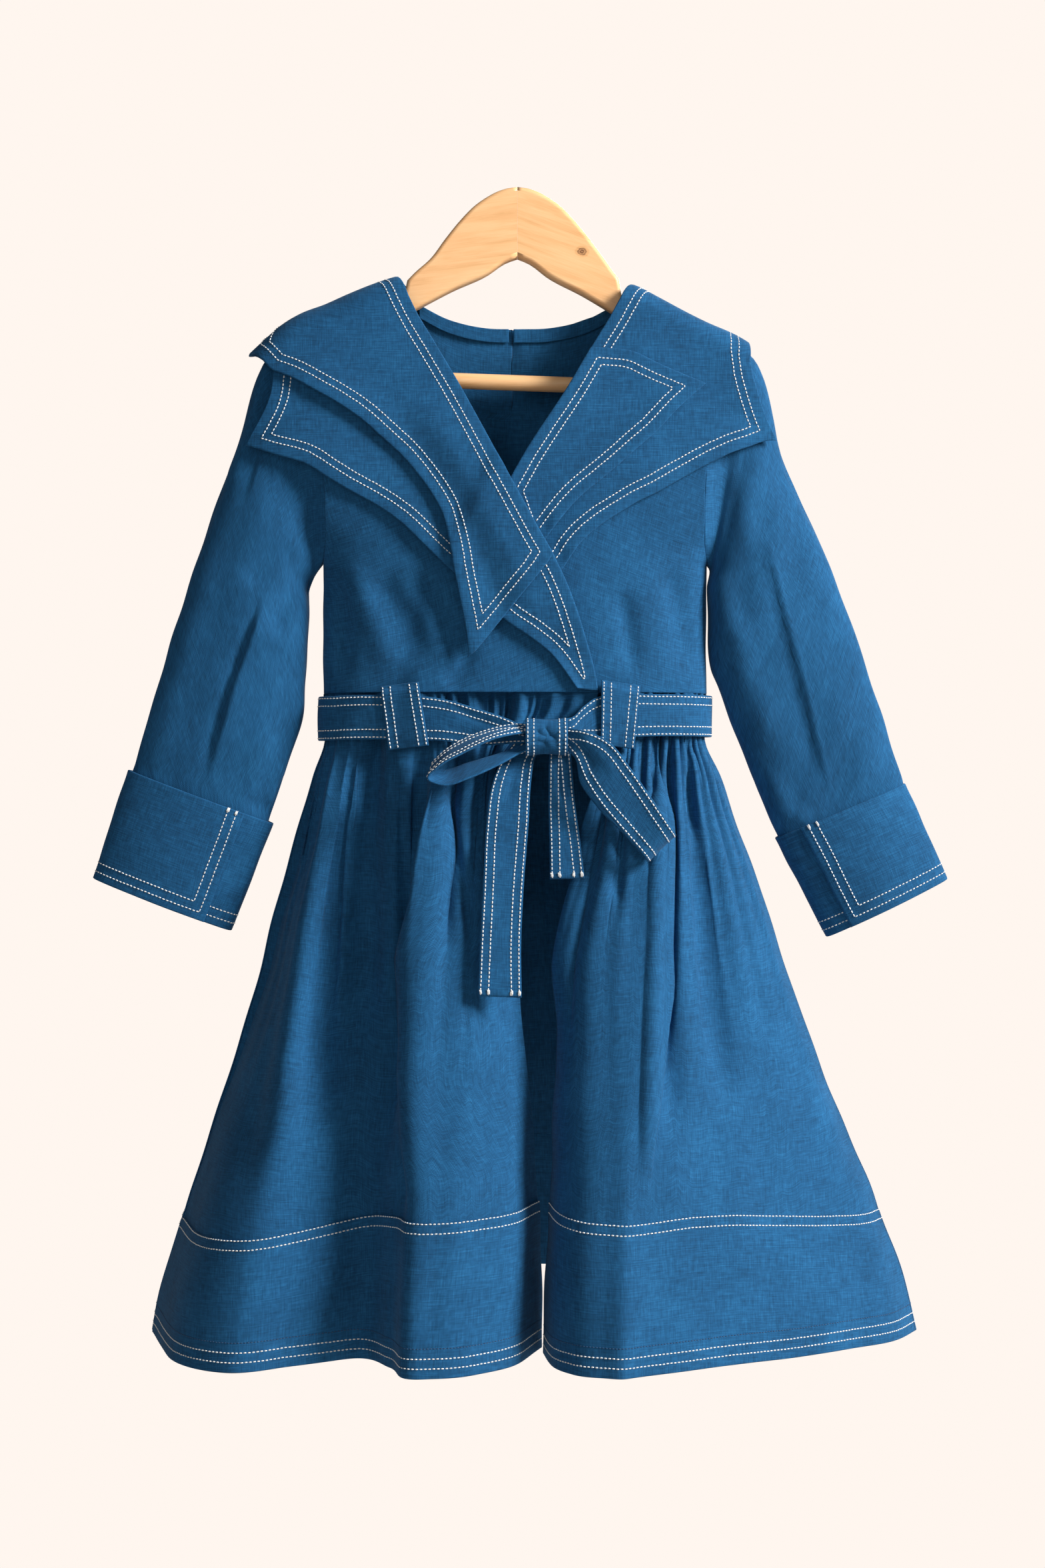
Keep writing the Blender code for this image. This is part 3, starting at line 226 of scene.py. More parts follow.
def maple(name, lean, knot=False):
    """Varnished maple: long grain at a lean from X, faint rings, pores, and a knot that bends the grain."""
    material, tree, shader = blank(name, 0.38)
    shader.inputs["Coat Weight"].default_value = 0.25
    shader.inputs["Coat Roughness"].default_value = 0.25
    place = node(tree, "ShaderNodeTexCoord").outputs["Object"]
    turned = node(tree, "ShaderNodeMapping", Rotation=(0, lean, 0))
    link(tree, place, turned.inputs["Vector"])
    along = node(tree, "ShaderNodeMapping", Scale=(14, 60, 160))
    link(tree, turned.outputs[0], along.inputs["Vector"])
    figure = node(tree, "ShaderNodeTexNoise", Scale=1.0, Detail=5.0, Roughness=0.6, Distortion=0.5)
    link(tree, along.outputs[0], figure.inputs["Vector"])
    fine = node(tree, "ShaderNodeMapping", Scale=(60, 500, 1500))
    link(tree, turned.outputs[0], fine.inputs["Vector"])
    pores = node(tree, "ShaderNodeTexNoise", Scale=1.0, Detail=3.0)
    link(tree, fine.outputs[0], pores.inputs["Vector"])
    tone = calc(tree, "ADD", calc(tree, "MULTIPLY", figure.outputs[0], 0.8),
                calc(tree, "MULTIPLY", pores.outputs[0], 0.3))
    if knot:
        apart = node(tree, "ShaderNodeVectorMath", operation="SUBTRACT")
        link(tree, place, apart.inputs[0])
        apart.inputs[1].default_value = (KNOT_PLACE[0], 0, KNOT_PLACE[1])
        flat = node(tree, "ShaderNodeVectorMath", operation="MULTIPLY")
        link(tree, apart.outputs[0], flat.inputs[0])
        flat.inputs[1].default_value = (1, 0, 1.25)
        far = node(tree, "ShaderNodeVectorMath", operation="LENGTH")
        link(tree, flat.outputs[0], far.inputs[0])
        wobble = calc(tree, "MULTIPLY", pores.outputs[0], 0.0022)
        reach = calc(tree, "ADD", far.outputs["Value"], wobble)
        ring = calc(tree, "MULTIPLY", calc(tree, "SINE", calc(tree, "MULTIPLY", reach, 4200), 0), 0.09)
        core = node(tree, "ShaderNodeMapRange")
        for key, value in (("From Min", 0.0028), ("From Max", 0.0058), ("To Min", 1.0), ("To Max", 0.0)):
            core.inputs[key].default_value = value
        link(tree, reach, core.inputs["Value"])
        dark = calc(tree, "MULTIPLY", core.outputs[0], calc(tree, "ADD", ring, 0.34))
        tone = calc(tree, "SUBTRACT", tone, dark)
    colour = ramp(tree, tone, ((0.12, (0.20, 0.08, 0.028)), (0.36, (0.80, 0.42, 0.17)),
                               (0.52, (0.92, 0.52, 0.24)), (0.75, (0.97, 0.62, 0.32))))
    link(tree, colour, shader.inputs["Base Color"])
    dents = node(tree, "ShaderNodeBump", Strength=0.12, Distance=0.0002)
    link(tree, pores.outputs[0], dents.inputs["Height"])
    link(tree, dents.outputs[0], shader.inputs["Normal"])
    return material


def show(name, mesh, material, *stands_for, slot="denim"):
    """Put a finished mesh in the scene as a piece of the dress."""
    mesh.materials.append(material)
    mesh.polygons.foreach_set("use_smooth", [True] * len(mesh.polygons))
    piece = bpy.data.objects.new(name, mesh)
    bpy.context.scene.collection.objects.link(piece)
    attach(piece, "root")
    if stands_for:
        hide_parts(*stands_for)
    return piece


def smooth_line(points, step):
    """More points on a smooth curve through a line's points."""
    points = np.array(points, float)
    gaps = np.linalg.norm(np.diff(points, axis=0), axis=1)
    way = np.concatenate(([0], np.cumsum(gaps)))
    return read(np.column_stack((way, points)), np.linspace(0, way[-1], int(way[-1] / step) + 2))


def arm(name, side):
    """One arm: its smooth outline, extruded and rounded, then bored for the hook."""
    upper = list(ARM_TOP) + [(row[0], row[1]) if side < 0 else (row[2], row[3]) for row in ARM_NECK[:2]]
    shoulder = [(row[0], row[1]) if side < 0 else (row[2], row[3]) for row in ARM_NECK[2:]]
    shoulder += [(out, float(ridge(side * out)) - below) for out, below in ARM_END]
    drop = BAR_DROP if side > 0 else 0.0
    under = [(out, z + drop * min(out / BAR_SEAT, 1)) for out, z in ARM_UNDER]
    outline = [*smooth_line(upper, 3), *smooth_line(shoulder, 4), *smooth_line(under[:2], 8),
               *smooth_line(under[2:], 4)]
    shape = bmesh.new()
    corners = [shape.verts.new((side * max(x, JOINT_GAP) * MM, -ARM_THICK / 2 * MM, z * MM))
               for x, z in outline]
    face = shape.faces.new(corners)
    grown = bmesh.ops.extrude_face_region(shape, geom=[face])
    raised = [item for item in grown["geom"] if isinstance(item, bmesh.types.BMVert)]
    bmesh.ops.translate(shape, verts=raised, vec=(0, ARM_THICK * MM, 0))
    bmesh.ops.recalc_face_normals(shape, faces=shape.faces)
    rims = [edge for edge in shape.edges if abs(edge.verts[0].co.y - edge.verts[1].co.y) < 0.1 * MM]
    joint = [edge for edge in rims if max(abs(v.co.x) for v in edge.verts) < 0.5 * MM]
    rims = [edge for edge in rims if edge not in joint]
    bmesh.ops.bevel(shape, geom=rims, offset=EDGE_ROUND * MM, segments=4, profile=0.5, affect="EDGES")
    bmesh.ops.triangulate(shape, faces=[face for face in shape.faces if len(face.verts) > 4])
    mesh = bpy.data.meshes.new(name)
    shape.to_mesh(mesh)
    shape.free()
    piece = show(name, mesh, maple(name + " wood", -0.35 if side > 0 else 0.12, side > 0), "hanger",
                 slot="maple")
    bore = piece.modifiers.new("hook hole", "BOOLEAN")
    bore.operation = "DIFFERENCE"
    bore.object = hook_bore
    bpy.context.view_layer.update()
    solid = bpy.data.meshes.new_from_object(piece.evaluated_get(bpy.context.evaluated_depsgraph_get()))
    piece.modifiers.clear()
    for face in solid.polygons:
        face.use_smooth = abs(face.normal.y) < 0.999
    piece.data = solid


bpy.ops.mesh.primitive_cylinder_add(vertices=20, radius=HOOK_HOLE[0] * MM, depth=HOOK_HOLE[1] * 2 * MM)
hook_bore = bpy.context.object
arm("hanger_arm_right", -1)
arm("hanger_arm_left", 1)
bpy.data.objects.remove(hook_bore)


def ring_mesh(name, rings, tips=()):
    """A closed mesh through rings of points, with a flat face at each end, or a fan to a tip."""
    rings = np.array(rings)
    layers, count = rings.shape[:2]
    index = np.arange(layers * count).reshape(layers, count)
    turned = np.roll(index, -1, 1)
    faces = np.stack((index[:-1], turned[:-1], turned[1:], index[1:]), -1).reshape(-1, 4).tolist()
    points = rings.reshape(-1, 3).tolist()
    if tips:
        first, last = (zip(index[k].tolist(), turned[k].tolist()) for k in (0, -1))
        faces += [(len(points), after, here) for here, after in first]
        faces += [(len(points) + 1, here, after) for here, after in last]
        points += [list(tip) for tip in tips]
    else:
        faces += [index[0, ::-1].tolist(), index[-1].tolist()]
    mesh = bpy.data.meshes.new(name)
    mesh.from_pydata((np.array(points) * MM).tolist(), [], faces)
    return mesh


bar_x = np.linspace(-BAR_SEAT, BAR_SEAT, 30)[:, None]
bar_turn = np.linspace(0, 2 * math.pi, 28, endpoint=False)[None]
bar_height = BAR_Z + BAR_DROP * (bar_x / BAR_SEAT + 1) / 2
bar_rings = np.stack((bar_x + bar_turn * 0, BAR_RADIUS * np.cos(bar_turn) + bar_x * 0,
                      bar_height + BAR_RADIUS * np.sin(bar_turn)), -1)
show("hanger_bar", ring_mesh("hanger_bar", bar_rings), maple("bar wood", 0.02), slot="maple")


# Bodice back: one piece of denim with a slit at the neck for the head to pass, sewn to the fronts on the
# shoulders and down the sides. The cloth's form, its weave and its sewing thread are worked out here.
ROUND = 9.0
TURN = ROUND * math.pi / 2
PITCH = 2.0
SEAM = -0.3  # below zero: sewn pieces lap a little at their seams
CLEARANCE = 0.5  # air round the button and its cord
LIGHT_WALL = 0.9
HEAVY_WALL = 1.3
WAIST_Z = -297.0
SIDE_RIGHT = 113.0
SIDE_LEFT = 110.0
UNDERARM_Z = -222.0
DEPTH = ((-297, 29, 22), (-222, 27, 21), (-170, 22, 18), (-120, 16, 14), (-80, 11, 10.5), (-57, 9, 9))
SECTION = (  # z, half width on the right, on the left
    (-297, 113, 110), (-222, 113, 110), (-212, 118, 115), (-190, 142, 138), (-160, 168, 164), (-57, 172, 170),
)
BODY_CURVE = (3, 0.4545)  # powers that round the section
ARMHOLE = (
    (-222, 113), (-212, 111.6), (-195, 111.4), (-172, 112), (-150, 114.5), (-128, 118), (-105, 122),
    (-80, 127),
)
NECK_RIGHT = (  # depth below the origin, x
    (55.5, -71), (75, -59), (94, -48), (118, -34), (151, -16.6), (178, -2), (205, 12.6), (228, 25.2),
    (246, 32.5), (263.5, 38.2), (282, 43.5), (297, 46.2),
)
NECK_LEFT = (
    (57.5, 67), (78.4, 53.6), (98.3, 41.7), (119.4, 29.6), (142, 14.9), (158.3, 4.5), (172.6, -3.5),
    (205, -20), (235, -33), (262, -42), (297, -48),
)


def by_side(rows, z, x):
    table = np.array(rows, float)
    right, left = (np.interp(z, table[:, 0], table[:, k]) for k in (1, 2))
    return np.where(np.asarray(x) < 0, right, left)


def stand_off(x, z, back, width=None):
    """Distance of the bodice cloth from the middle plane, before the turn over the shoulder."""
    width = by_side(SECTION, z, x) if width is None else width
    table = np.array(DEPTH, float)
    reach = np.where(back, np.interp(z, table[:, 0], table[:, 2]), np.interp(z, table[:, 0], table[:, 1]))
    return reach * np.maximum(1 - (np.abs(x) / width) ** BODY_CURVE[0], 0) ** BODY_CURVE[1]


def from_ridge(x, z):
    """Distance along the cloth from the shoulder line down to a height."""
    sink = ridge(x) - z
    near = ROUND * np.arccos(np.clip(1 - np.maximum(sink, 0) / ROUND, -1, 1))
    return np.where(sink < ROUND, near, TURN + sink - ROUND)


def surface(x, run):
    """A point on the bodice's inner face: run is the way from the shoulder line, below zero on the front."""
    x, run = np.broadcast_arrays(np.asarray(x, float), np.asarray(run, float))
    turn = np.minimum(np.abs(run) / ROUND, math.pi / 2)
    sink = ROUND * (1 - np.cos(turn)) + np.maximum(np.abs(run) - TURN, 0)
    z = ridge(x) - sink
    y = stand_off(x, z, run > 0) * np.sin(turn)
    return np.stack((x, np.where(run > 0, y, -y), z), -1)


def on_torso(x, run, lift):
    """Points lifted off the bodice's inner face, square to it."""
    step = 0.8
    across = surface(x + step, run) - surface(x - step, run)
    along = surface(x, run + step) - surface(x, run - step)
    normal = np.cross(across, along)
    normal /= np.linalg.norm(normal, axis=-1, keepdims=True)
    return surface(x, run) + normal * np.asarray(lift)[..., None]


def neck_right(z):
    return read(NECK_RIGHT, -np.asarray(z, float))[..., 0]


def neck_left(z):
    return read(NECK_LEFT, -np.asarray(z, float))[..., 0]


LAP_Z = (-118, 44)  # where the right front starts to ride up, and the run over which it does
LAP_OVER_FRONT = (22, 14)
LAP_NEAR_EDGE = (46, 24)
LAP_COLLAR_Z = (-284, 40)


def right_lift(x, z):
    """How far the right front rides above the left front and its collar ends."""
    below = ease((LAP_Z[0] - z) / LAP_Z[1])
    over_front = ease((x - neck_left(z) + LAP_OVER_FRONT[0]) / LAP_OVER_FRONT[1])
    near_edge = ease((LAP_NEAR_EDGE[0] - (neck_right(z) - x)) / LAP_NEAR_EDGE[1])
    over_collar = near_edge * ease((z - LAP_COLLAR_Z[0]) / LAP_COLLAR_Z[1])
    return PITCH * below * (over_front + 2 * over_collar)


def armhole(z, side):
    reach = read(ARMHOLE, z)[..., 0]
    reach = np.where(np.asarray(z) <= UNDERARM_Z, SIDE_RIGHT, reach)
    return side * (reach if side < 0 else reach - SIDE_RIGHT + SIDE_LEFT)


WAVES = 7
WAVES_SUM = 2.2  # about what the waves add up to


def crumple(points, seed, depth, size):
    """Low soft unevenness, as in washed and pressed cloth: a few crossed waves, the same on each run."""
    draw = np.random.RandomState(seed)
    total = np.zeros(points.shape[:-1])
    for _ in range(WAVES):
        way = draw.normal(size=3)
        way *= 2 * math.pi / (size * draw.uniform(0.7, 1.9) * np.linalg.norm(way))
        total += np.sin(points @ way + draw.uniform(0, 6.3)) * draw.uniform(0.4, 1.0)
    return depth * total / WAVES_SUM


FOLD_REACH = 4  # widths of a fold at which it has died out
FOLD_ENDS = (0.22, 0.3)  # shares of its length over which it fades in and out
STEP_RAMP = 1.6


def crease(points, lines, facing=-1):
    """Depth of the listed folds on what faces one way: soft troughs and ridges, and lapped steps."""
    scale = -EYE[1] / (points[..., 1] - EYE[1])
    place = np.stack((EYE[0] + (points[..., 0] - EYE[0]) * scale,
                      EYE[2] + (points[..., 2] - EYE[2]) * scale), -1)
    place = place.reshape(-1, 2)
    total = np.zeros(len(place))
    for kind, depth, width, line in lines:
        line = smooth_line(line, 6)
        start, run = line[:-1], np.diff(line, axis=0)
        reach = FOLD_REACH * width
        box = (place > line.min(0) - reach) & (place < line.max(0) + reach)
        chosen = np.flatnonzero(box.all(1))
        if not len(chosen):
            continue
        gap = place[chosen, None, :] - start
        t = np.clip((gap * run).sum(-1) / (run ** 2).sum(1), 0, 1)
        off = gap - t[..., None] * run
        apart = np.linalg.norm(off, axis=-1)
        near = apart.argmin(-1)
        pick = np.arange(len(chosen))
        here = apart[pick, near]
        part = (near + t[pick, near]) / len(run)
        fade = ease(np.minimum(part / FOLD_ENDS[0], (1 - part) / FOLD_ENDS[1]))
        shape = np.exp(-(here / width) ** 2)
        if kind == "step":
            cross = off[pick, near, 1] * run[near, 0] - off[pick, near, 0] * run[near, 1]
            shape = np.where(cross * depth > 0, np.exp(-here / width), 0) * np.clip(here / STEP_RAMP, 0, 1)
        total[chosen] += (abs(depth) if kind == "step" else depth) * fade * shape
    return total.reshape(points.shape[:-1]) * (points[..., 1] * facing > 0)


def denim(name, seed):
    """Plain-weave indigo cotton: crossing threads, slubs both ways, uneven dye and a soft nap."""
    material, tree, shader = blank(name, 0.86)
    shader.inputs["Sheen Weight"].default_value = 0.10
    shader.inputs["Sheen Roughness"].default_value = 0.45
    shader.inputs["Sheen Tint"].default_value = (0.45, 0.7, 1.0, 1)
    shader.inputs["Specular IOR Level"].default_value = 0.18
    place = node(tree, "ShaderNodeTexCoord").outputs["UV"]

    def threads(scale, detail, shift):
        spread = node(tree, "ShaderNodeMapping", Location=(shift, seed * 3.7, 0), Scale=scale)
        link(tree, place, spread.inputs["Vector"])
        slub = node(tree, "ShaderNodeTexNoise", Scale=1.0, Detail=detail, Roughness=0.65)
        link(tree, spread.outputs[0], slub.inputs["Vector"])
        return slub.outputs[0]

    warp = threads((1700, 90, 1), 2.0, 1.3)
    weft = threads((70, 1500, 1), 2.0, 5.1)
    cloud = threads((26, 20, 1), 4.0, 9.2)
    mottle = threads((330, 300, 1), 3.0, 2.2)
    waves = []
    for axis in ("X", "Y"):
        wave = node(tree, "ShaderNodeTexWave", bands_direction=axis, Scale=520.0, Distortion=1.2, Detail=1.0)
        link(tree, place, wave.inputs["Vector"])
        waves.append(calc(tree, "SUBTRACT", wave.outputs["Fac"], 0.5))
    weave = calc(tree, "MULTIPLY", waves[0], waves[1])
    tone = calc(tree, "MULTIPLY", weave, 0.25)
    for part, weight in ((warp, 0.30), (weft, 0.30), (cloud, 0.22), (mottle, 0.18)):
        tone = calc(tree, "ADD", tone, calc(tree, "MULTIPLY", part, weight))
    shades = ((0.34, (0.004, 0.036, 0.088)), (0.5, (0.009, 0.083, 0.208)), (0.66, (0.020, 0.150, 0.345)))
    link(tree, ramp(tree, tone, shades), shader.inputs["Base Color"])
    height = calc(tree, "ADD", calc(tree, "MULTIPLY", weave, 0.9), calc(tree, "ADD", warp, weft))
    nap = node(tree, "ShaderNodeBump", Strength=0.35, Distance=0.0003)
    link(tree, height, nap.inputs["Height"])
    link(tree, nap.outputs[0], shader.inputs["Normal"])
    return material


def cotton(name, colour):
    """Twisted sewing cotton."""
    material, tree, shader = blank(name, 0.6)
    twist = node(tree, "ShaderNodeTexWave", bands_direction="DIAGONAL", Scale=900.0, Distortion=0.5)
    link(tree, node(tree, "ShaderNodeTexCoord").outputs["Object"], twist.inputs["Vector"])
    shades = ((0.1, [c * 0.82 for c in colour]), (0.7, colour))
    link(tree, ramp(tree, twist.outputs["Fac"], shades), shader.inputs["Base Color"])
    ply = node(tree, "ShaderNodeBump", Strength=0.3, Distance=0.0001)
    link(tree, twist.outputs["Fac"], ply.inputs["Height"])
    link(tree, ply.outputs[0], shader.inputs["Normal"])
    return material


WHITE_COTTON = cotton("white cotton", (0.93, 0.94, 0.93))
BLUE_COTTON = cotton("blue cotton", (0.018, 0.075, 0.18))


def lengths(points, axis):
    """The way along a grid's lines from their first point."""
    way = np.cumsum(np.linalg.norm(np.diff(points, axis=axis), axis=-1), axis=axis)
    start = np.zeros((1, points.shape[1])) if axis == 0 else np.zeros((points.shape[0], 1))
    return np.concatenate((start, way), axis=axis)


def outward_ways(points, facing, tube):
    """Unit normals of a grid; facing is the outward way at its middle."""
    across = np.roll(points, -1, 1) - np.roll(points, 1, 1) if tube else np.gradient(points, axis=1)
    normal = np.cross(across, np.gradient(points, axis=0))
    normal /= np.maximum(np.linalg.norm(normal, axis=-1, keepdims=True), 1e-9)
    middle = normal[points.shape[0] // 2, points.shape[1] // 2]
    return normal if middle @ np.array(facing, float) > 0 else -normal


SHORTEST_CUT = 10.2
MITRE_SLACK = 0.12


class Cloth:
    """A cloth wall on a grid of inner points, with rounded rims, and its outer face kept for sewing on."""

    def __init__(self, name, grid, facing, wall, held, seed, tube=False, relief=None, plan=None, slit=None):
        grid = np.array(grid, float)
        if relief is not None:
            grid = grid + outward_ways(grid, facing, tube) * relief[..., None]
        self.normal = normal = outward_ways(grid, facing, tube)
        down, across = lengths(grid, 0), lengths(grid, 1)
        rim = np.minimum(down, down[-1] - down)
        if not tube:
            rim = np.minimum(rim, np.minimum(across, across[:, -1:] - across))
        if slit:
            rim[slit[1]] = np.minimum(rim, np.abs(across - across[:, slit[0]:slit[0] + 1]))[slit[1]]
        thick = wall * np.sqrt(np.maximum(1 - (1 - np.clip(rim / (wall / 2), 0, 1)) ** 2, 0.02))
        middle = grid + normal * wall / 2
        self.outer = middle + normal * thick[..., None] / 2
        inner = middle - normal * thick[..., None] / 2
        if plan is None:
            plan = np.stack((across - across[:, across.shape[1] // 2][:, None], down), -1)
        self.plan = plan
        rows, columns = grid.shape[:2]
        count = rows * columns
        index = np.arange(count).reshape(rows, columns)
        nearby = np.concatenate((index, index[:, :1]), 1) if tube else index
        cells = np.stack((nearby[:-1, :-1], nearby[:-1, 1:], nearby[1:, 1:], nearby[1:, :-1]), -1)
        if slit:
            kept = np.ones(cells.shape[:2], bool)
            kept[:, slit[0]] = ~slit[1][:-1]
            cells = cells[kept]
        cells = cells.reshape(-1, 4)
        probe = cells[len(cells) // 2 + columns // 4]
        corners = self.outer.reshape(-1, 3)[probe]
        if np.cross(corners[1] - corners[0], corners[3] - corners[0]) @ normal.reshape(-1, 3)[probe[0]] < 0:
            cells = cells[:, ::-1]
        edges = np.concatenate([np.column_stack((cells[:, k], cells[:, (k + 1) % 4])) for k in range(4)])
        there = set(map(tuple, edges.tolist()))
        rims = np.array([edge for edge in there if (edge[1], edge[0]) not in there])
        sides = np.column_stack((rims[:, 1], rims[:, 0], rims[:, 0] + count, rims[:, 1] + count))
        mesh = bpy.data.meshes.new(name)
        points = np.concatenate((self.outer.reshape(-1, 3), inner.reshape(-1, 3))) * MM
        mesh.from_pydata(points.tolist(), [], np.concatenate((cells, cells[:, ::-1] + count, sides)).tolist())
        corner = np.zeros(len(mesh.loops), int)
        mesh.loops.foreach_get("vertex_index", corner)
        cut = np.tile(self.plan.reshape(-1, 2) * MM, (2, 1))[corner]
        mesh.uv_layers.new(name="cut").data.foreach_set("uv", cut.ravel())
        if slit:
            shape = bmesh.new()
            shape.from_mesh(mesh)
            bmesh.ops.remove_doubles(shape, verts=shape.verts, dist=0.002 * MM)
            shape.to_mesh(mesh)
            shape.free()
        piece = show(name, mesh, denim(name + " denim", seed), name)
        wide, long = across[:, -1].max(), down[-1].max()
        if tube:
            wide += np.linalg.norm(grid[:, 0] - grid[:, -1], axis=1).max()
        long = max(long, SHORTEST_CUT)

    def inset(self, edge, distance):
        """The line on the outer face at a distance in from an edge, with its normals."""
        outer, normal = self.outer, self.normal
        if edge in ("left", "right"):
            outer, normal = outer.transpose(1, 0, 2), normal.transpose(1, 0, 2)
        if edge in ("bottom", "right"):
            outer, normal = outer[::-1], normal[::-1]
        way = lengths(outer, 0)
        line, ways = [], []
        for k in range(outer.shape[1]):
            j = min(max(int(np.searchsorted(way[:, k], distance)), 1), len(way) - 1)
            t = (distance - way[j - 1, k]) / (way[j, k] - way[j - 1, k])
            line.append(mix(outer[j - 1, k], outer[j, k], t))
            ways.append(normal[j, k])
        return np.array(line), np.array(ways)

    def at(self, places):
        """Points on the outer face at places in the cut, with their normals."""
        rows, columns = self.plan.shape[:2]
        flat = self.plan.reshape(-1, 2)
        spots, ways = [], []
        for place in places:
            j, k = divmod(int(((flat - place) ** 2).sum(1).argmin()), columns)
            j, k = min(max(j, 1), rows - 2), min(max(k, 1), columns - 2)
            turn = np.column_stack(((self.plan[j + 1, k] - self.plan[j - 1, k]) / 2,
                                    (self.plan[j, k + 1] - self.plan[j, k - 1]) / 2))
            dj, dk = np.linalg.solve(turn, place - self.plan[j, k])
            spots.append(self.outer[j, k] + (self.outer[j + 1, k] - self.outer[j - 1, k]) / 2 * dj
                         + (self.outer[j, k + 1] - self.outer[j, k - 1]) / 2 * dk)
            ways.append(self.normal[j, k])
        return np.array(spots), np.array(ways)

    def round_rows(self, distances):
        """Lines all round the piece at distances in from its outline, with mitred corners."""
        plan = self.plan
        outline = np.concatenate((plan[0], plan[1:, -1], plan[-1, -2::-1], plan[-2:0:-1, 0]))
        ring = np.concatenate((outline, outline[:1]))
        way = np.concatenate(([0], np.cumsum(np.linalg.norm(np.diff(ring, axis=0), axis=1))))
        at = np.arange(0, way[-1], 1.0)
        ring = np.stack([np.interp(at, way, ring[:, c]) for c in (0, 1)], -1)
        along = np.roll(ring, -1, 0) - np.roll(ring, 1, 0)
        along /= np.linalg.norm(along, axis=1)[:, None]
        inward = np.stack((-along[:, 1], along[:, 0]), -1)
        turned = np.roll(ring, -1, 0)
        if (ring[:, 0] * turned[:, 1] - ring[:, 1] * turned[:, 0]).sum() < 0:
            inward = -inward
        lines = []
        for distance in distances:
            spots = ring + inward * distance
            apart = np.linalg.norm(spots[:, None] - ring[None], axis=-1).min(1)
            spots = spots[apart > distance - MITRE_SLACK]
            lines.append(self.at(np.concatenate((spots, spots[:1]))))
        return lines


STITCH = 2.3
STITCH_GAP = 0.45
STITCH_SHARES = np.array((0, 0.16, 0.5, 0.84, 1))
THREAD_WIDE = 0.4
THREAD_HIGH = 0.3
STITCH_DIP = 0.12
STITCH_WANDER = 0.07


def trimmed(line, start, end=None):
    """A line and its normals, cut short at its ends."""
    spots, ways = line
    end = start if end is None else end
    way = np.concatenate(([0], np.cumsum(np.linalg.norm(np.diff(spots, axis=0), axis=1))))
    at = np.linspace(start, way[-1] - end, max(int(way[-1] - end - start), 2))
    return tuple(np.stack([np.interp(at, way, values[:, c]) for c in range(3)], -1)
                 for values in (spots, ways))


def sew(name, lines, material=None, size=1.0, seed=1):
    """Stitches along lines on the cloth: each is a short rounded bead of thread that dips in at its ends."""
    draw = np.random.RandomState(seed)
    points, faces = [], []
    for line, ways in lines:
        way = np.concatenate(([0], np.cumsum(np.linalg.norm(np.diff(line, axis=0), axis=1))))
        count = int(way[-1] / (STITCH * size))
        if count < 1:
            continue
        step = way[-1] / count
        for i in range(count):
            shares = STITCH_SHARES * (step - STITCH_GAP * size) + STITCH_GAP / 2 + i * step
            spot = np.stack([np.interp(shares, way, line[:, c]) for c in range(3)], -1)
            up = np.array([np.interp(shares[2], way, ways[:, c]) for c in range(3)])
            up /= max(np.linalg.norm(up), 1e-9)
            side = np.cross(spot[-1] - spot[0], up)
            side /= max(np.linalg.norm(side), 1e-9)
            spot = spot + side * draw.uniform(-STITCH_WANDER, STITCH_WANDER) * size
            base = len(points)
            points.append(spot[0] - up * STITCH_DIP)
            for ring, swell in ((1, 0.8), (2, 1.0), (3, 0.8)):
                wide, high = THREAD_WIDE * swell * size, THREAD_HIGH * swell * size
                points += [spot[ring] + side * wide, spot[ring] + up * high * 1.5, spot[ring] - side * wide,
                           spot[ring] - up * high * 0.4]
            points.append(spot[4] - up * STITCH_DIP)
            for k in range(4):
                n = (k + 1) % 4
                faces.append((base, base + 1 + n, base + 1 + k))
                for ring in (0, 4):
                    faces.append((base + 1 + ring + k, base + 1 + ring + n, base + 5 + ring + n,
                                  base + 5 + ring + k))
                faces.append((base + 9 + k, base + 9 + n, base + 13))
    mesh = bpy.data.meshes.new(name)
    mesh.from_pydata((np.array(points) * MM).tolist(), [], faces)
    show(name, mesh, material or WHITE_COTTON, slot="thread")


def knots(name, spots, seed=1):
    """Small blobs of thread where a row of stitches is sewn back and forth: place, normal and way along."""
    draw = np.random.RandomState(seed)
    lines = []
    for spot, up, along in spots:
        side = np.cross(along, up)
        for _ in range(6):
            start = spot + side * draw.uniform(-0.8, 0.8) - along * draw.uniform(1.2, 1.9) + up * 0.15
            end = spot + side * draw.uniform(-0.8, 0.8) + along * draw.uniform(1.2, 1.9) + up * 0.3
            lines.append((np.array((start, mix(start, end, 0.5), end)), np.array((up, up, up))))
    sew(name, lines, seed=seed)


def close_ends(count, length):
    """Shares from 0 to 1 with a few close to each end, where the rims are rounded."""
    close = [c / length for c in (0, 0.12, 0.35, 0.8)]
    middle = np.linspace(close[-1], 1 - close[-1], count)[1:-1]
    return np.array([*close, *middle, *[1 - c for c in reversed(close)]])


SLIT_X = -3.7
SLIT_WIDTH = 2.2
SLIT_LAP = 0.9
SLIT_END_Z = -132.0
SLIT_GAPE = (1.2, 7, 12)  # how far the left edge stands back, and over what width and height
BACK_NECK = ((0, -81), (18, -80.5), (32, -78), (43, -74.5), (52, -70), (60, -65.5), (66, -62.5), (71, -60))
BACK_CREASES = (
    ("soft", -1.6, 9, ((70, -200), (80, -240), (84, -290))),
    ("soft", -1.4, 8, ((-60, -190), (-76, -240), (-80, -292))),
    ("soft", 1.3, 10, ((20, -180), (26, -240), (22, -290))),
    ("soft", -1.2, 7, ((-20, -215), (-26, -262), (-24, -294))),
    ("soft", -1.3, 8, ((104, -170), (96, -215), (92, -250))),
    ("soft", -1.3, 8, ((-104, -165), (-98, -210), (-94, -255))),
)
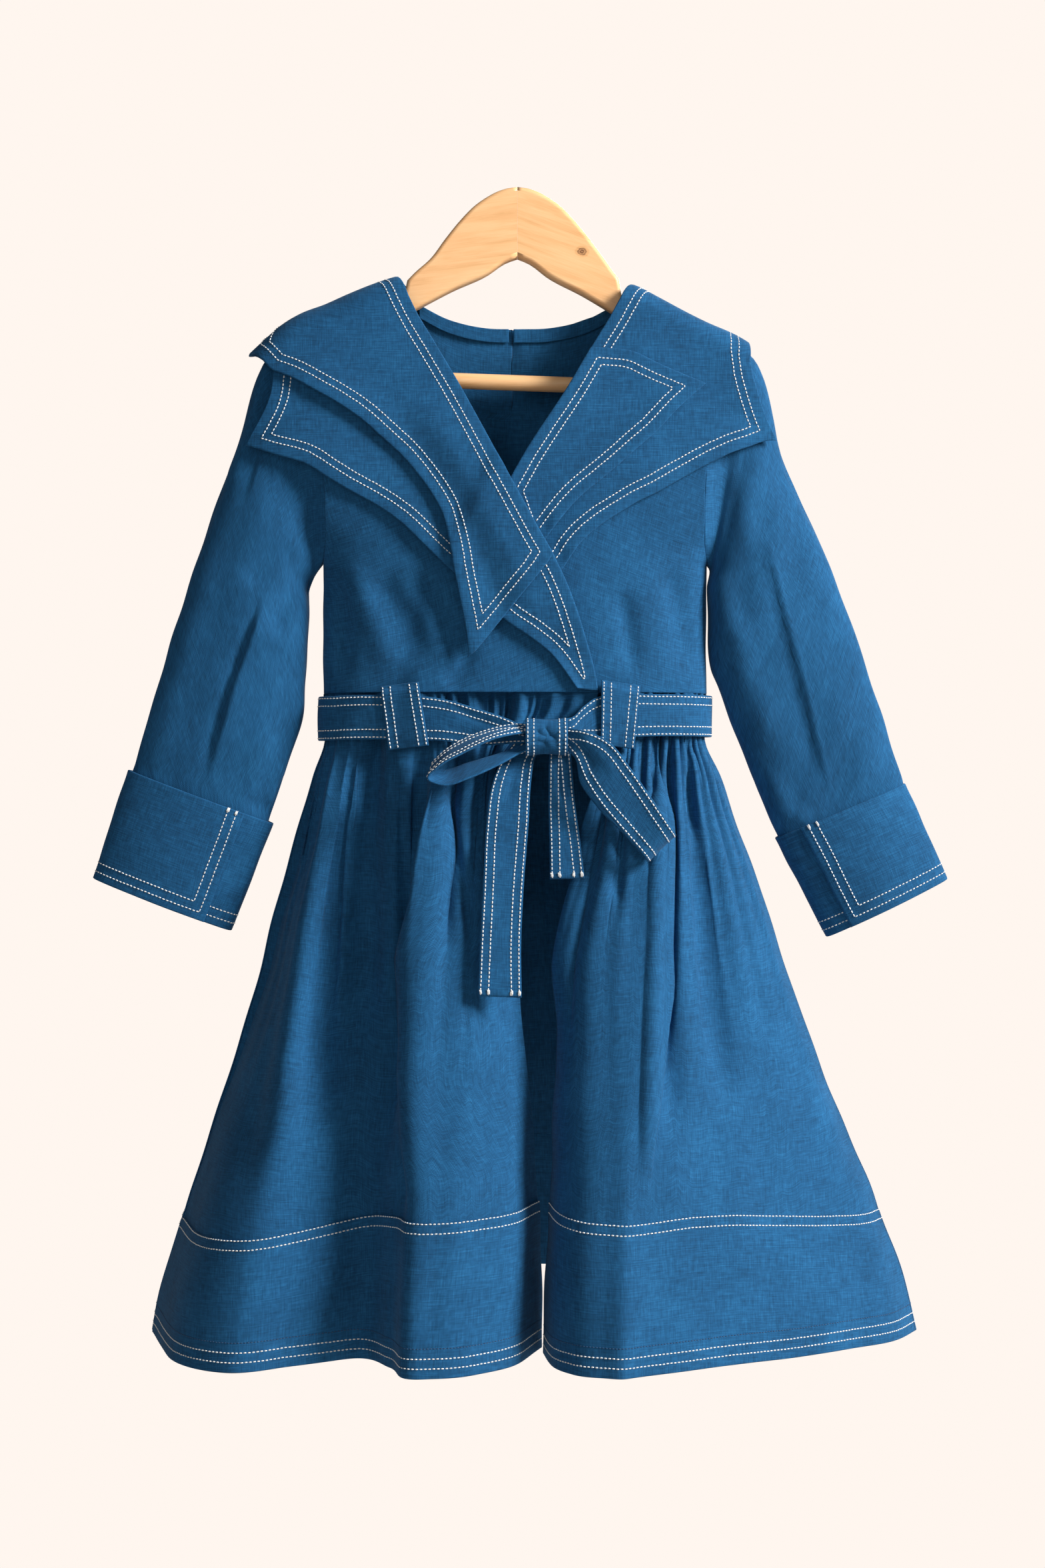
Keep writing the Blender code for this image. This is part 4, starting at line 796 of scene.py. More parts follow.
FRONT_CREASES = (
    ("soft", -3.4, 9, ((-85, -226), (-65, -253), (-53, -285))),
    ("soft", -2.8, 7, ((-65, -222), (-45, -249), (-34, -281))),
    ("soft", 2.0, 8, ((-100, -214), (-85, -253), (-73, -289))),
    ("soft", -2.6, 6, ((-106, -226), (-102, -265), (-104, -296))),
    ("soft", -2.0, 7, ((-30, -268), (-34, -285), (-45, -292))),
    ("soft", -2.8, 8, ((87, -218), (95, -249), (99, -289))),
    ("soft", -2.2, 6, ((60, -234), (66, -265), (68, -289))),
)
TORSO_WEAR = (3, 0.3, 36)  # seed, depth and size of the unevenness


def torso_relief(points):
    return crumple(points, *TORSO_WEAR) + crease(points, FRONT_CREASES) + crease(points, BACK_CREASES, 1)


def back_half(side):
    """Half of the back: columns from the middle out, rows from the neck and shoulder to the waist."""
    shoulder_end = float(armhole(-80, side))
    shoulder_neck = float(neck_right(-57) if side < 0 else neck_left(-57))
    corner = (shoulder_neck - SLIT_X) / (shoulder_end - SLIT_X)
    inner = np.concatenate(([0, 0.004, 0.012], np.linspace(0.03, 0.96, 22))) * corner
    column = np.concatenate((inner, corner + (1 - corner) * close_ends(26, 60)))
    top_x = SLIT_X + (shoulder_end - SLIT_X) * column
    top_run = np.where(column < corner - 1e-6, from_ridge(top_x, read(BACK_NECK, np.abs(top_x))[..., 0]),
                       SEAM / 2)
    rows = []
    for share in close_ends(80, 235):
        side_z = mix(float(surface(shoulder_end, 0)[2]), WAIST_Z, share)
        x = SLIT_X + (float(armhole(side_z, side)) - SLIT_X) * column
        run = mix(top_run, from_ridge(x, WAIST_Z), share)
        open_here = (column < 0.002) & (surface(x, run)[:, 2] > SLIT_END_Z)
        point = surface(x - np.where(open_here, side * SLIT_LAP, 0), run)
        if side > 0:
            gape = ease(1 - (x - SLIT_X) / SLIT_GAPE[1]) * ease((point[:, 2] - SLIT_END_Z) / SLIT_GAPE[2])
            point[:, 1] += SLIT_GAPE[0] * gape
        point[-1, 1] = max(point[-1, 1], SEAM / 2)
        rows.append(point)
    return np.array(rows)


back_left, back_right = back_half(1), back_half(-1)
back_grid = np.concatenate((back_right[:, ::-1], back_left), 1)
slit_column = back_right.shape[1] - 1
slit_rows = np.abs(back_grid[:, slit_column, 0] - back_grid[:, slit_column + 1, 0]) > 0.01
Cloth("bodice_back", back_grid, (0, 1, 0), LIGHT_WALL, "hung", 1, relief=torso_relief(back_grid),
      slit=(slit_column, slit_rows))


# Fronts: two pieces of the same denim that lap across the chest, the wearer's right over the left, each cut
# in one with its neckline and sewn into the waist seam under the belt.
RIDGE_RUNS = (SEAM / 2, 0.6, 2.5, 5.0, 7.5, 10.0, 12.5, 15.0, 17.0)
FRONT_ROWS = (  # z at the neckline, z at the armhole or side
    (-75, -105), (-98, -128), (-123, -150), (-148, -172), (-168, -192), (-188, -208), (-207, -222.5),
    (-228, -240), (-250, -260), (-274, -279), (-297, -297),
)


def front(name, side, neck, lift, seed):
    """A front: rows from the shoulder to the waist, columns from the neckline to the armhole and side."""
    table = np.array(FRONT_ROWS, float)
    steps = np.concatenate((np.linspace(0, 10, 92)[:-1], [9.96, 9.985, 10]))
    neck_z, side_z = (np.interp(steps, np.arange(11), table[:, c]) for c in (0, 1))
    x, out = neck(neck_z), armhole(side_z, side)
    run, side_run = from_ridge(x, neck_z), from_ridge(out, side_z)
    low = ease(steps / 10)
    start = np.array(RIDGE_RUNS)
    x = np.concatenate((mix(float(neck(-57)), x[0], start / run[0]), x))
    out = np.concatenate((mix(float(armhole(-80, side)), out[0], start / side_run[0]), out))
    run, side_run = np.concatenate((start, run)), np.concatenate((start, side_run))
    low = np.concatenate((start * 0, low))
    share = close_ends(76, 120)[None]
    x, out, run, side_run, low = (values[:, None] for values in (x, out, run, side_run, low))
    across, reach = mix(x, out, share), mix(run, side_run, share)
    flat_z = mix(surface(x, -run)[..., 2], surface(out, -side_run)[..., 2], share)
    reach = mix(reach, from_ridge(across, flat_z), low)
    grid = on_torso(across, -reach, lift(across, surface(across, -reach)[..., 2]))
    grid[:, -1] = surface(across, -reach)[:, -1]
    grid[:, -1, 1] = np.minimum(grid[:, -1, 1], -SEAM / 2)
    Cloth(name, grid, (0, -1, 0), LIGHT_WALL, "hung", seed, relief=torso_relief(grid))


front("bodice_front_right", -1, neck_right, right_lift, 2)
front("bodice_front_left", 1, neck_left, lambda x, z: x * 0, 3)


# Collars: two wide double pieces on each side, turned out, pressed and sewn round with two rows of white
# cotton. They lie on the fronts. All but the upper left one, a lapel, go over the shoulder and end on the
# back.
RIDGE_STEPS = ((10.0, 5.0, 0.0), (5.0, 10.0, 15.0))
LOWER_RIGHT = (  # z on the neckline, outer x, outer z
    (-75, -143, -125), (-94, -156, -153.5), (-106, -136, -160), (-118, -116.5, -167.5), (-134, -97.3, -179.8),
    (-151, -81, -189), (-178, -63.5, -202), (-205, -44.3, -221), (-228, -23.3, -240), (-246, -6.5, -256),
    (-263.5, 6.6, -265), (-282, 20, -276), (-296.4, 34, -295.5),
)
UPPER_RIGHT = (
    (-76, -142, -109.5), (-94, -125, -117.5), (-118, -107, -128), (-134.5, -90.7, -139),
    (-151, -75.4, -152.6), (-164, -60.7, -167.5), (-178, -50.2, -181.4), (-187, -42.9, -194.6),
    (-195, -38.6, -210.8), (-201.5, -35.5, -228.6), (-207.5, -31.9, -246.2), (-213, -28.6, -264),
    (-219.2, -27.4, -277.7),
)
LOWER_LEFT = (
    (-78.4, 136, -112.5), (-88.5, 139.6, -126), (-98.3, 144, -139), (-108, 149, -150.5),
    (-119.4, 134.6, -154.2), (-128, 122.5, -158.7), (-135.5, 109.3, -165.1), (-142, 92.9, -174.2),
    (-150, 78.2, -182.7), (-158.3, 63.1, -190.9), (-166, 48.5, -200.5), (-172.6, 36.8, -210.8),
    (-181, 25.1, -227), (-190, 14, -237),
)
UPPER_LEFT = (
    (-97, 108.5, -118.8), (-108, 93.2, -132.8), (-119.4, 78.4, -148.4), (-131, 63.3, -161.7),
    (-142, 48.6, -174.4), (-151, 34, -187.1), (-158.3, 20.6, -203.4), (-168, 14.4, -212), (-181, 6, -220),
)
BACK_COLLAR = (  # way down the back from the shoulder line at the neck, neck x, at the outer edge, outer x
    (14, 60, 28, 136), (21.3, 46, 52, 130), (26.5, 32, 66, 84), (29.2, 19, 72, 26),
)
COLLAR_ROWS = (6.4, 10.4)
COLLAR_AIR = 0.35
COLLAR_STEP = 2.4
CURL_FROM = 0.55  # share of the width from which the outer edge lifts
CURL_WAVE = (0.45, 0.11)  # how unevenly it lifts, and how fast that changes along it


def smooth_parts(rows, corners, step):
    """Finer rows on smooth curves through a table, kept sharp at its corner rows."""
    rows = np.array(rows, float)
    stops = [0, *corners, len(rows) - 1]
    fine = []
    for first, last in zip(stops[:-1], stops[1:]):
        part = rows[first:last + 1]
        gaps = np.linalg.norm(np.diff(part[:, :4], axis=0), axis=1) / 1.4
        way = np.concatenate(([0], np.cumsum(gaps)))
        at = np.linspace(0, way[-1], int(way[-1] / step) + 3)
        fine.append(read(np.column_stack((way, part)), at)[(1 if first else 0):])
    return np.concatenate(fine)


def collar(name, side, rows, neck, lift, tip, seed, ridge_end=None, back_size=1.0, flip=1.6):
    """A collar: rows from its back end, over the shoulder and down the neckline to its point."""
    ends, corners = [], []
    if ridge_end:
        first_z, first_out, first_out_z = rows[0]
        first_neck = float(neck(first_z))
        front_run = float(from_ridge(first_neck, first_z))
        outer_run = float(from_ridge(first_out, first_out_z))
        shoulder_neck = float(neck(-57))
        for run, x, out_run, out in reversed(BACK_COLLAR):
            ends.append((side * x, run, side * min(out, ridge_end), max(out_run * back_size, run)))
        corners.append(2)
        for run in RIDGE_STEPS[0]:
            ends.append((mix(shoulder_neck, side * BACK_COLLAR[0][1], run / BACK_COLLAR[0][0]), run,
                         mix(side * ridge_end, side * BACK_COLLAR[0][3], run / BACK_COLLAR[0][2]), run))
        for run in RIDGE_STEPS[1]:
            if run < min(front_run, outer_run) - 2:
                ends.append((mix(shoulder_neck, first_neck, run / front_run), -run,
                             mix(side * ridge_end, first_out, run / outer_run), -run))
    if tip is not None:
        corners.append(len(ends) + tip)
    for neck_z, out, out_z in rows:
        x = float(neck(neck_z))
        ends.append((x, -float(from_ridge(x, neck_z)), out, -float(from_ridge(out, out_z))))
    fine = smooth_parts(ends, corners, COLLAR_STEP)
    edge = np.array((0.06, 0.2, 0.5))[:, None]
    fine = np.concatenate((fine[:1], mix(fine[0], fine[1], edge), fine[1:-1],
                           mix(fine[-1], fine[-2], edge[::-1]), fine[-1:]))
    x, run, out, out_run = (fine[:, c:c + 1] for c in range(4))
    share = close_ends(40, 80)[None]
    across, reach = mix(x, out, share), mix(run, out_run, share)
    height = surface(across, reach)[..., 2]
    above = lift(across, np.where(reach < 0, height, -57.0))
    wave = 1 + CURL_WAVE[0] * np.sin(np.arange(len(fine))[:, None] * CURL_WAVE[1] + seed)
    curl = flip * ease((share - CURL_FROM) / (1 - CURL_FROM)) ** 1.5 * wave
    clear = 1 if side < 0 else ease((across - neck_right(height) - 3) / 10)
    above = above + curl * clear
    grid = on_torso(across, reach, above)
    plan = np.stack((across, ridge(across) + reach), -1)
    made = Cloth(name, grid, (0, -1, 0), HEAVY_WALL, "folded", seed, relief=torso_relief(grid), plan=plan)
    sew(name + "_thread", made.round_rows(COLLAR_ROWS), seed=seed)


collar("collar_lower_right", -1, LOWER_RIGHT, neck_right, lambda x, z: right_lift(x, z) + PITCH + COLLAR_AIR,
       1, 4, 139)
collar("collar_upper_right", -1, UPPER_RIGHT, neck_right,
       lambda x, z: right_lift(x, z) + 2 * (PITCH + COLLAR_AIR), None, 5, 153, 0.8)
collar("collar_lower_left", 1, LOWER_LEFT, neck_left, lambda x, z: PITCH + x * 0, 3, 6, 133)
collar("collar_upper_left", 1, UPPER_LEFT, neck_left, lambda x, z: 2 * PITCH + x * 0, None, 7)


# Sleeves: each one piece of denim, sewn into a tube under the arm and set into the armhole. They hang slack
# and flat, with one long tuck down the front where the cloth is pulled over.
SLEEVE_AROUND = 160
SLEEVE_HEAD = 170.0
UNDERARM_RISE = 3.5
HEAD_EASE = (0.7, 0.2)  # how far the first ring stands out under the arm and on the shoulder
SLEEVE_RIGHT = (  # outer x, outer z, inner x, inner z, front depth, back depth
    (-139, -91.5, -117.3, -225.5, 13, 11), (-147.5, -100.5, -119.4, -229, 14, 12),
    (-152.5, -110, -121.4, -234, 15, 12), (-160, -140, -122.6, -241, 16, 13),
    (-171.4, -171, -123, -255, 17, 13), (-183, -202, -123.2, -271, 17, 13),
    (-193.3, -233.5, -123.4, -289, 16, 12), (-203, -265, -124.7, -307, 15, 12),
    (-212, -296, -130, -326, 14, 11), (-220, -322, -138.5, -349, 13, 11),
    (-226.6, -343.2, -146.6, -373.6, 11, 10.2),
)
SLEEVE_LEFT = (
    (131, -95.5, 113.4, -224, 13, 11), (138.5, -103, 113.6, -230, 14, 12), (144, -112, 113.2, -238, 14, 12),
    (148.6, -136, 113.2, -250, 15, 12), (154, -158, 113.2, -262, 16, 13), (164, -180, 113.4, -272, 17, 13),
    (174.5, -203, 114.5, -282, 17, 13), (187, -234, 118, -292, 16, 12), (199, -268, 124.5, -308, 15, 12),
    (210, -301, 132, -327, 14, 11), (219, -328, 141.5, -352, 13, 11), (225.6, -350.6, 154.4, -382, 11, 10.2),
)
SLEEVE_CREASES_RIGHT = (
    ("step", 2.6, 14, ((-150, -236), (-155, -256), (-160, -270), (-169, -295), (-176, -321), (-185, -352))),
    ("soft", -1.2, 2.6, ((-152, -238), (-157, -256), (-162, -270), (-171, -295), (-178, -321), (-187, -352))),
    ("soft", -2, 7, ((-158, -367), (-147, -355), (-137, -343))),
    ("soft", -1.4, 5, ((-150, -369), (-143, -359))),
    ("soft", -3, 8, ((-120, -222), (-135, -244), (-147, -265))),
    ("soft", -2, 9, ((-126, -214), (-147, -222), (-163, -234))),
    ("soft", -1.5, 12, ((-167, -163), (-175, -202), (-178, -242))),
    ("soft", -1.6, 8, ((-135, -265), (-137, -304), (-145, -335))),
)
SLEEVE_CREASES_LEFT = (
    ("step", -2.6, 14, ((144, -200), (152, -229), (161, -263), (169, -293), (176, -323), (186, -366))),
    ("soft", -1.2, 2.6, ((142, -200), (150, -229), (159, -263), (167, -293), (174, -323), (184, -366))),
    ("soft", 2, 10, ((155, -154), (162, -195), (167, -235))),
    ("soft", -2, 7, ((164, -376), (154, -359), (146, -339))),
    ("soft", -1.5, 5, ((170, -375), (164, -365))),
    ("soft", -2.5, 8, ((115, -222), (123, -249), (134, -277))),
    ("soft", -1.6, 9, ((127, -265), (142, -304), (150, -335))),
    ("soft", -1.5, 8, ((130, -163), (134, -195), (142, -222))),
)
SLEEVE_CREASES_BACK = (
    ("soft", -2.2, 9, ((-125, -225), (-143, -250), (-150, -285))),
    ("soft", -1.8, 8, ((-160, -190), (-172, -240), (-180, -300))),
    ("soft", -1.8, 7, ((-160, -366), (-150, -350), (-146, -330))),
    ("soft", -2.2, 9, ((118, -224), (134, -250), (143, -290))),
    ("soft", -1.6, 8, ((152, -180), (164, -235), (172, -290))),
    ("soft", -1.8, 7, ((168, -372), (160, -352), (158, -332))),
)


def sleeve(name, side, rows, creases, seed):
    """A sleeve: its first ring follows the armhole, the rest its table, and all are read smoothly between."""
    angle = 2 * math.pi * np.arange(SLEEVE_AROUND) / SLEEVE_AROUND
    share = (1 - np.cos(angle)) / 2
    back = np.sin(angle) < 0
    top_x = float(armhole(-80, side)) + side * SEAM
    z = mix(float(ridge(top_x)), UNDERARM_Z + UNDERARM_RISE, share)
    x = armhole(z, side) + side * (SEAM + HEAD_EASE[0] * share ** 6 + HEAD_EASE[1] * (1 - share) ** 8)
    first = surface(x, np.where(back, 1, -1) * from_ridge(x, z))
    first[SLEEVE_AROUND // 2, 1] = 0
    rings = [first]
    for outer_x, outer_z, inner_x, inner_z, front_depth, back_depth in rows:
        x, z = mix(outer_x, inner_x, share), mix(outer_z, inner_z, share)
        depth = np.where(back, back_depth, front_depth) * np.abs(np.sin(angle)) ** 0.8
        turn = np.minimum(from_ridge(x, z) / ROUND, math.pi / 2)
        roof = stand_off(x, z, back, SLEEVE_HEAD) * np.sin(turn) + 40 * ease((-160 - z) / 40)
        depth = np.minimum(depth, roof)
        rings.append(np.stack((x, np.where(back, depth, -depth), z), -1))
    rings = np.array(rings)
    way = np.concatenate(([0], np.cumsum(np.linalg.norm(np.diff(rings, axis=0), axis=-1).mean(1))))
    at = close_ends(80, way[-1]) * way[-1]
    grid = read(np.column_stack((way, rings.reshape(len(rings), -1))), at).reshape(len(at), SLEEVE_AROUND, 3)
    settle = ease(at / 25)[:, None] * ease((way[-1] - at) / 10 + 0.25)[:, None]
    wear = crumple(grid, *TORSO_WEAR) + crumple(grid, 11, 0.5, 30) * settle
    wear = wear + (crease(grid, creases) + crease(grid, SLEEVE_CREASES_BACK, 1)) * settle
    Cloth(name, grid, (0, -side * 1.0, 0), LIGHT_WALL, "hung", seed, tube=True, relief=wear)


sleeve("sleeve_right", -1, SLEEVE_RIGHT, SLEEVE_CREASES_RIGHT, 8)
sleeve("sleeve_left", 1, SLEEVE_LEFT, SLEEVE_CREASES_LEFT, 9)


# Cuffs: deep double strips sewn round the sleeve ends, open on the inner side where one end laps over the
# other. Two rows of stitches go round the edge and up the lap, and end in bar tacks at the seam.
CUFF_RIGHT = (  # outer x, outer z, inner x, inner z, depth
    (-227.2, -341.3, -144.5, -372, 12), (-234, -362.5, -152.5, -393.5, 12.5),
    (-241, -384.5, -161, -415, 12.5), (-247.5, -405, -169, -435, 12),
)
CUFF_LEFT = (
    (226.4, -349.3, 152, -380.5, 12), (234.5, -367.5, 162.5, -400, 12.5), (242.5, -386, 173, -421, 12.5),
    (251, -405.5, 182.5, -438.5, 12),
)
CUFF_ROWS = (5.0, 10.2)
CUFF_TURN = (131, -238)  # degrees round the sleeve, from the lap's edge to the end under it


def cuff(name, rows, seed):
    """A cuff: a strip that starts at the edge of its upper lap, goes round and ends under that lap."""
    table = np.array(rows, float)
    way = np.concatenate(([0], np.cumsum(np.linalg.norm(np.diff(table[:, :2], axis=0), axis=1))))
    fine = read(np.column_stack((way, table)), close_ends(34, way[-1]) * way[-1])
    outer_x, outer_z, inner_x, inner_z, depth = (fine[:, c:c + 1] for c in range(5))
    turns = np.linspace(math.radians(CUFF_TURN[0]), math.radians(CUFF_TURN[1]), 136)
    turns = np.concatenate((turns[:1], turns[0] + np.array((-0.003, -0.01)), turns[1:-1],
                            turns[-1] + np.array((0.01, 0.003)), turns[-1:]))[None]
    share = (1 - np.cos(turns)) / 2
    lapped = depth + PITCH * ease((turns - 0.4) / 1.2)
    reach = lapped * np.sign(np.sin(turns)) * np.abs(np.sin(turns)) ** 0.8
    grid = np.stack((mix(outer_x, inner_x, share), -reach, mix(outer_z, inner_z, share)), -1)
    made = Cloth(name, grid, (0, 1, 0), HEAVY_WALL, "folded", seed, relief=crumple(grid, 21, 0.35, 26))
    lines = [trimmed(made.inset("bottom", CUFF_ROWS[0]), CUFF_ROWS[0], 2),
             trimmed(made.inset("bottom", CUFF_ROWS[1]), CUFF_ROWS[1], 2)]
    tacks = []
    for distance in CUFF_ROWS:
        upright = trimmed(made.inset("left", distance), 1.5, distance)
        lines.append(upright)
        along = upright[0][1] - upright[0][0]
        tacks.append((upright[0][0], upright[1][0], along / np.linalg.norm(along)))
    sew(name + "_thread", lines, seed=seed)
    knots(name + "_tacks", tacks, seed=seed)


cuff("cuff_right", CUFF_RIGHT, 10)
cuff("cuff_left", CUFF_LEFT, 12)


# Skirt: two fronts that part at the middle and a back, each gathered by a thread into the waist seam and
# hanging in folds, over a deep hem band sewn on with two rows above and two below.
SKIRT_TOP_Z = WAIST_Z - SEAM
HEM_RIGHT = 213.0
HEM_LEFT = 233.3
SKIRT_RIGHT = (  # share of the waist, hem x, hem y, z of the band's top, hem z
    (0.00, 13, -61, -584, -665), (0.13, -1.7, -93, -586, -667), (0.27, -23.6, -110, -587, -668),
    (0.42, -45, -118, -588, -668), (0.53, -60, -117, -588, -668), (0.645, -69, -94, -588, -668),
    (0.755, -92, -74, -592, -668), (0.82, -125, -88, -597, -669), (0.88, -158, -98, -601, -670),
    (0.94, -190, -72, -603, -670), (1.00, -HEM_RIGHT, -SEAM / 2, -604, -671),
)
SKIRT_LEFT = (
    (0.00, 15.5, -66, -584, -667), (0.06, 19.5, -92, -586, -668), (0.13, 30, -109, -588, -668),
    (0.24, 48, -117, -589, -668), (0.48, 70, -112, -589, -668), (0.60, 98, -98, -588, -668),
    (0.69, 125, -85, -589, -668), (0.77, 155, -68, -592, -669), (0.84, 185, -50, -595, -669),
    (0.91, 215, -27, -598, -670), (1.00, HEM_LEFT, -SEAM / 2, -599, -670),
)
SPLIT = {  # way down from the waist to the hem, x of the front edge
    "right": ((0, 47), (0.035, 42), (0.09, 14), (0.22, 3.5), (0.47, 1.5), (0.63, 7.5), (0.77, 11.5), (1, 13)),
    "left": ((0, 50.5), (0.09, 49), (0.16, 44), (0.28, 35), (0.43, 23.3), (0.52, 23), (0.7, 20.5),
             (0.9, 17), (1, 15.5)),
}
FLARE = (  # way down, share of the flare
    (0, 0), (0.04, -0.01), (0.075, -0.005), (0.12, 0.06), (0.165, 0.11), (0.25, 0.21), (0.42, 0.38),
    (0.58, 0.565), (0.75, 0.78), (0.92, 0.95), (1, 1),
)
GATHER = (  # way down, depth of the gathers
    (0, 0.9), (0.035, 2.0), (0.085, 1.8), (0.15, 2.6), (0.24, 2.0), (0.36, 1.2), (0.5, 0.5), (0.62, 0),
    (1, 0),
)
BAND_SHARE = 0.785
SKIRT_LENGTH = 370.0
FOLDS = {  # place on the waist, depth inward, width, first way down, last way down
    "right": ((0.755, 9.0, 0.030, 0.02, 0.55), (0.47, 5.0, 0.025, 0.02, 0.40),
              (0.60, 5.0, 0.020, 0.05, 0.80)),
    "left": ((0.45, -4.0, 0.030, 0.10, 0.74), (0.55, 4.0, 0.035, 0.05, 0.70), (0.10, 3.0, 0.030, 0.12, 0.33),
             (0.70, 5.0, 0.040, 0.10, 0.66)),
    "back": ((0.22, 7.0, 0.025, 0.02, 0.60), (0.41, 8.0, 0.025, 0.02, 0.55), (0.63, 7.0, 0.025, 0.02, 0.62),
             (0.80, 6.0, 0.025, 0.02, 0.50)),
}
SKIRT_CREASES = {
    "right": (
        ("soft", -9, 12, ((-90, -318), (-97, -363), (-103, -400), (-108, -460), (-114, -580))),
        ("soft", 4, 9, ((-104, -325), (-122, -420), (-131, -480), (-142, -590))),
        ("soft", -6, 11, ((-110, -325), (-136, -420), (-152, -500), (-170, -620))),
        ("soft", -4, 4, ((-73, -322), (-70, -372), (-69, -437), (-72, -490))),
        ("step", 7, 20, ((-50, -318), (-52, -363), (-53, -381), (-58, -433), (-60, -456), (-65, -500),
                         (-68, -554), (-67, -600))),
        ("soft", -8, 6, ((-57, -320), (-60, -381), (-66, -433), (-73, -500), (-76, -580))),
        ("soft", 4.5, 9, ((-46, -335), (-50, -381), (-55, -433), (-61, -500), (-64, -560), (-63, -600))),
        ("soft", 3.0, 2.4, ((-50, -340), (-52, -381), (-57, -433), (-63, -500), (-66, -560), (-65, -590))),
        ("soft", -3.5, 3, ((-41, -327), (-40, -355), (-37, -377), (-32, -407), (-29, -433), (-24, -456))),
        ("soft", -1.5, 3, ((-61, -328), (-60, -347))),
        ("soft", 2.5, 5, ((-6, -335), (-10, -378), (-13, -437), (-15, -500))),
    ),
    "left": (
        ("step", -5.5, 18, ((89, -320), (87, -348), (90, -394), (89, -413), (88, -470), (85, -507),
                            (81, -544), (79, -572), (77, -602))),
        ("soft", -3.4, 2.6, ((91, -320), (89.5, -348), (92, -394), (91, -413), (90, -470), (87, -507),
                             (82, -550))),
        ("soft", 3.5, 4, ((44, -340), (41, -374), (35.5, -401), (30, -428), (24, -460), (23, -500))),
        ("soft", -3.5, 3, ((52, -340), (49, -374), (43, -401), (38, -428), (32, -460), (30, -520))),
        ("soft", -2.5, 4, ((60, -325), (62, -363), (60, -413), (58, -436))),
        ("soft", -1.2, 3, ((56, -400), (58, -417))), ("soft", -1.0, 3, ((77, -393), (79, -404))),
        ("soft", -3, 3, ((72, -318), (73, -372))), ("soft", -3, 3, ((82, -318), (80, -362))),
        ("soft", -3, 3, ((99, -318), (103, -385))), ("soft", -4, 12, ((104, -370), (114, -440), (124, -540))),
    ),
    "back": (
        ("soft", -3.5, 6, ((-70, -330), (-76, -390), (-84, -470))),
        ("soft", -3, 4, ((-30, -328), (-32, -380), (-36, -440))),
        ("step", 3.0, 14, ((12, -330), (14, -400), (18, -480), (20, -560))),
        ("soft", -3.5, 6, ((64, -330), (72, -400), (80, -490))),
        ("soft", -2.5, 4, ((40, -328), (43, -375), (44, -420))),
        ("soft", -2, 10, ((-120, -420), (-132, -500), (-140, -560))),
    ),
}
PANEL_COLUMNS = {"right": 31, "left": 25, "back": 41}
FINENESS = {"right": 8, "left": 9, "back": 6}
PLEATS = 34
SKIRT_WEAR = (31, 0.55, 42)
BAND_LAP = 0.0012
BAND_ROWS = ((("top", 0.9), ("top", 6.2), ("bottom", 5.7), ("bottom", 10.9)), (("bottom", 16.2),))


def waist_line(panel):
    """Dense points round the waist for one panel, from its split edge, or the back from right to left."""
    if panel == "back":
        turn = np.linspace(0, math.pi, 161)
        x = (SIDE_LEFT - SIDE_RIGHT) / 2 - (SIDE_LEFT + SIDE_RIGHT) / 2 * np.cos(turn)
        return np.column_stack((x, np.maximum(stand_off(x, WAIST_Z, True), SEAM / 2)))
    share = 1 - (1 - np.linspace(0, 1, 120)) ** 2
    x = mix(SPLIT[panel][0][1], -SIDE_RIGHT if panel == "right" else SIDE_LEFT, share)
    y = -stand_off(x, WAIST_Z, False) - (right_lift(x, WAIST_Z) if panel == "right" else 0)
    return np.column_stack((x, np.minimum(y, -SEAM / 2)))


def at_share(points, share):
    way = np.concatenate(([0], np.cumsum(np.linalg.norm(np.diff(points, axis=0), axis=1))))
    return np.stack([np.interp(share, way / way[-1], points[:, c]) for c in (0, 1)], -1)


def hem_line(panel, share):
    """The hem: x, y, z of the band's top and z of the hem, at shares of the waist."""
    if panel != "back":
        return read(SKIRT_RIGHT if panel == "right" else SKIRT_LEFT, share)
    bulge = np.sin(math.pi * share)
    x = (HEM_LEFT - HEM_RIGHT) / 2 - (HEM_LEFT + HEM_RIGHT) / 2 * np.cos(math.pi * share)
    wave = 8 * np.cos(12 * math.pi * share) * np.minimum(3 * bulge, 1)
    return np.stack((x, 78 * bulge ** 0.75 + wave * bulge + SEAM / 2, -603 + 37 * bulge,
                     -670 + 21 * bulge), -1)


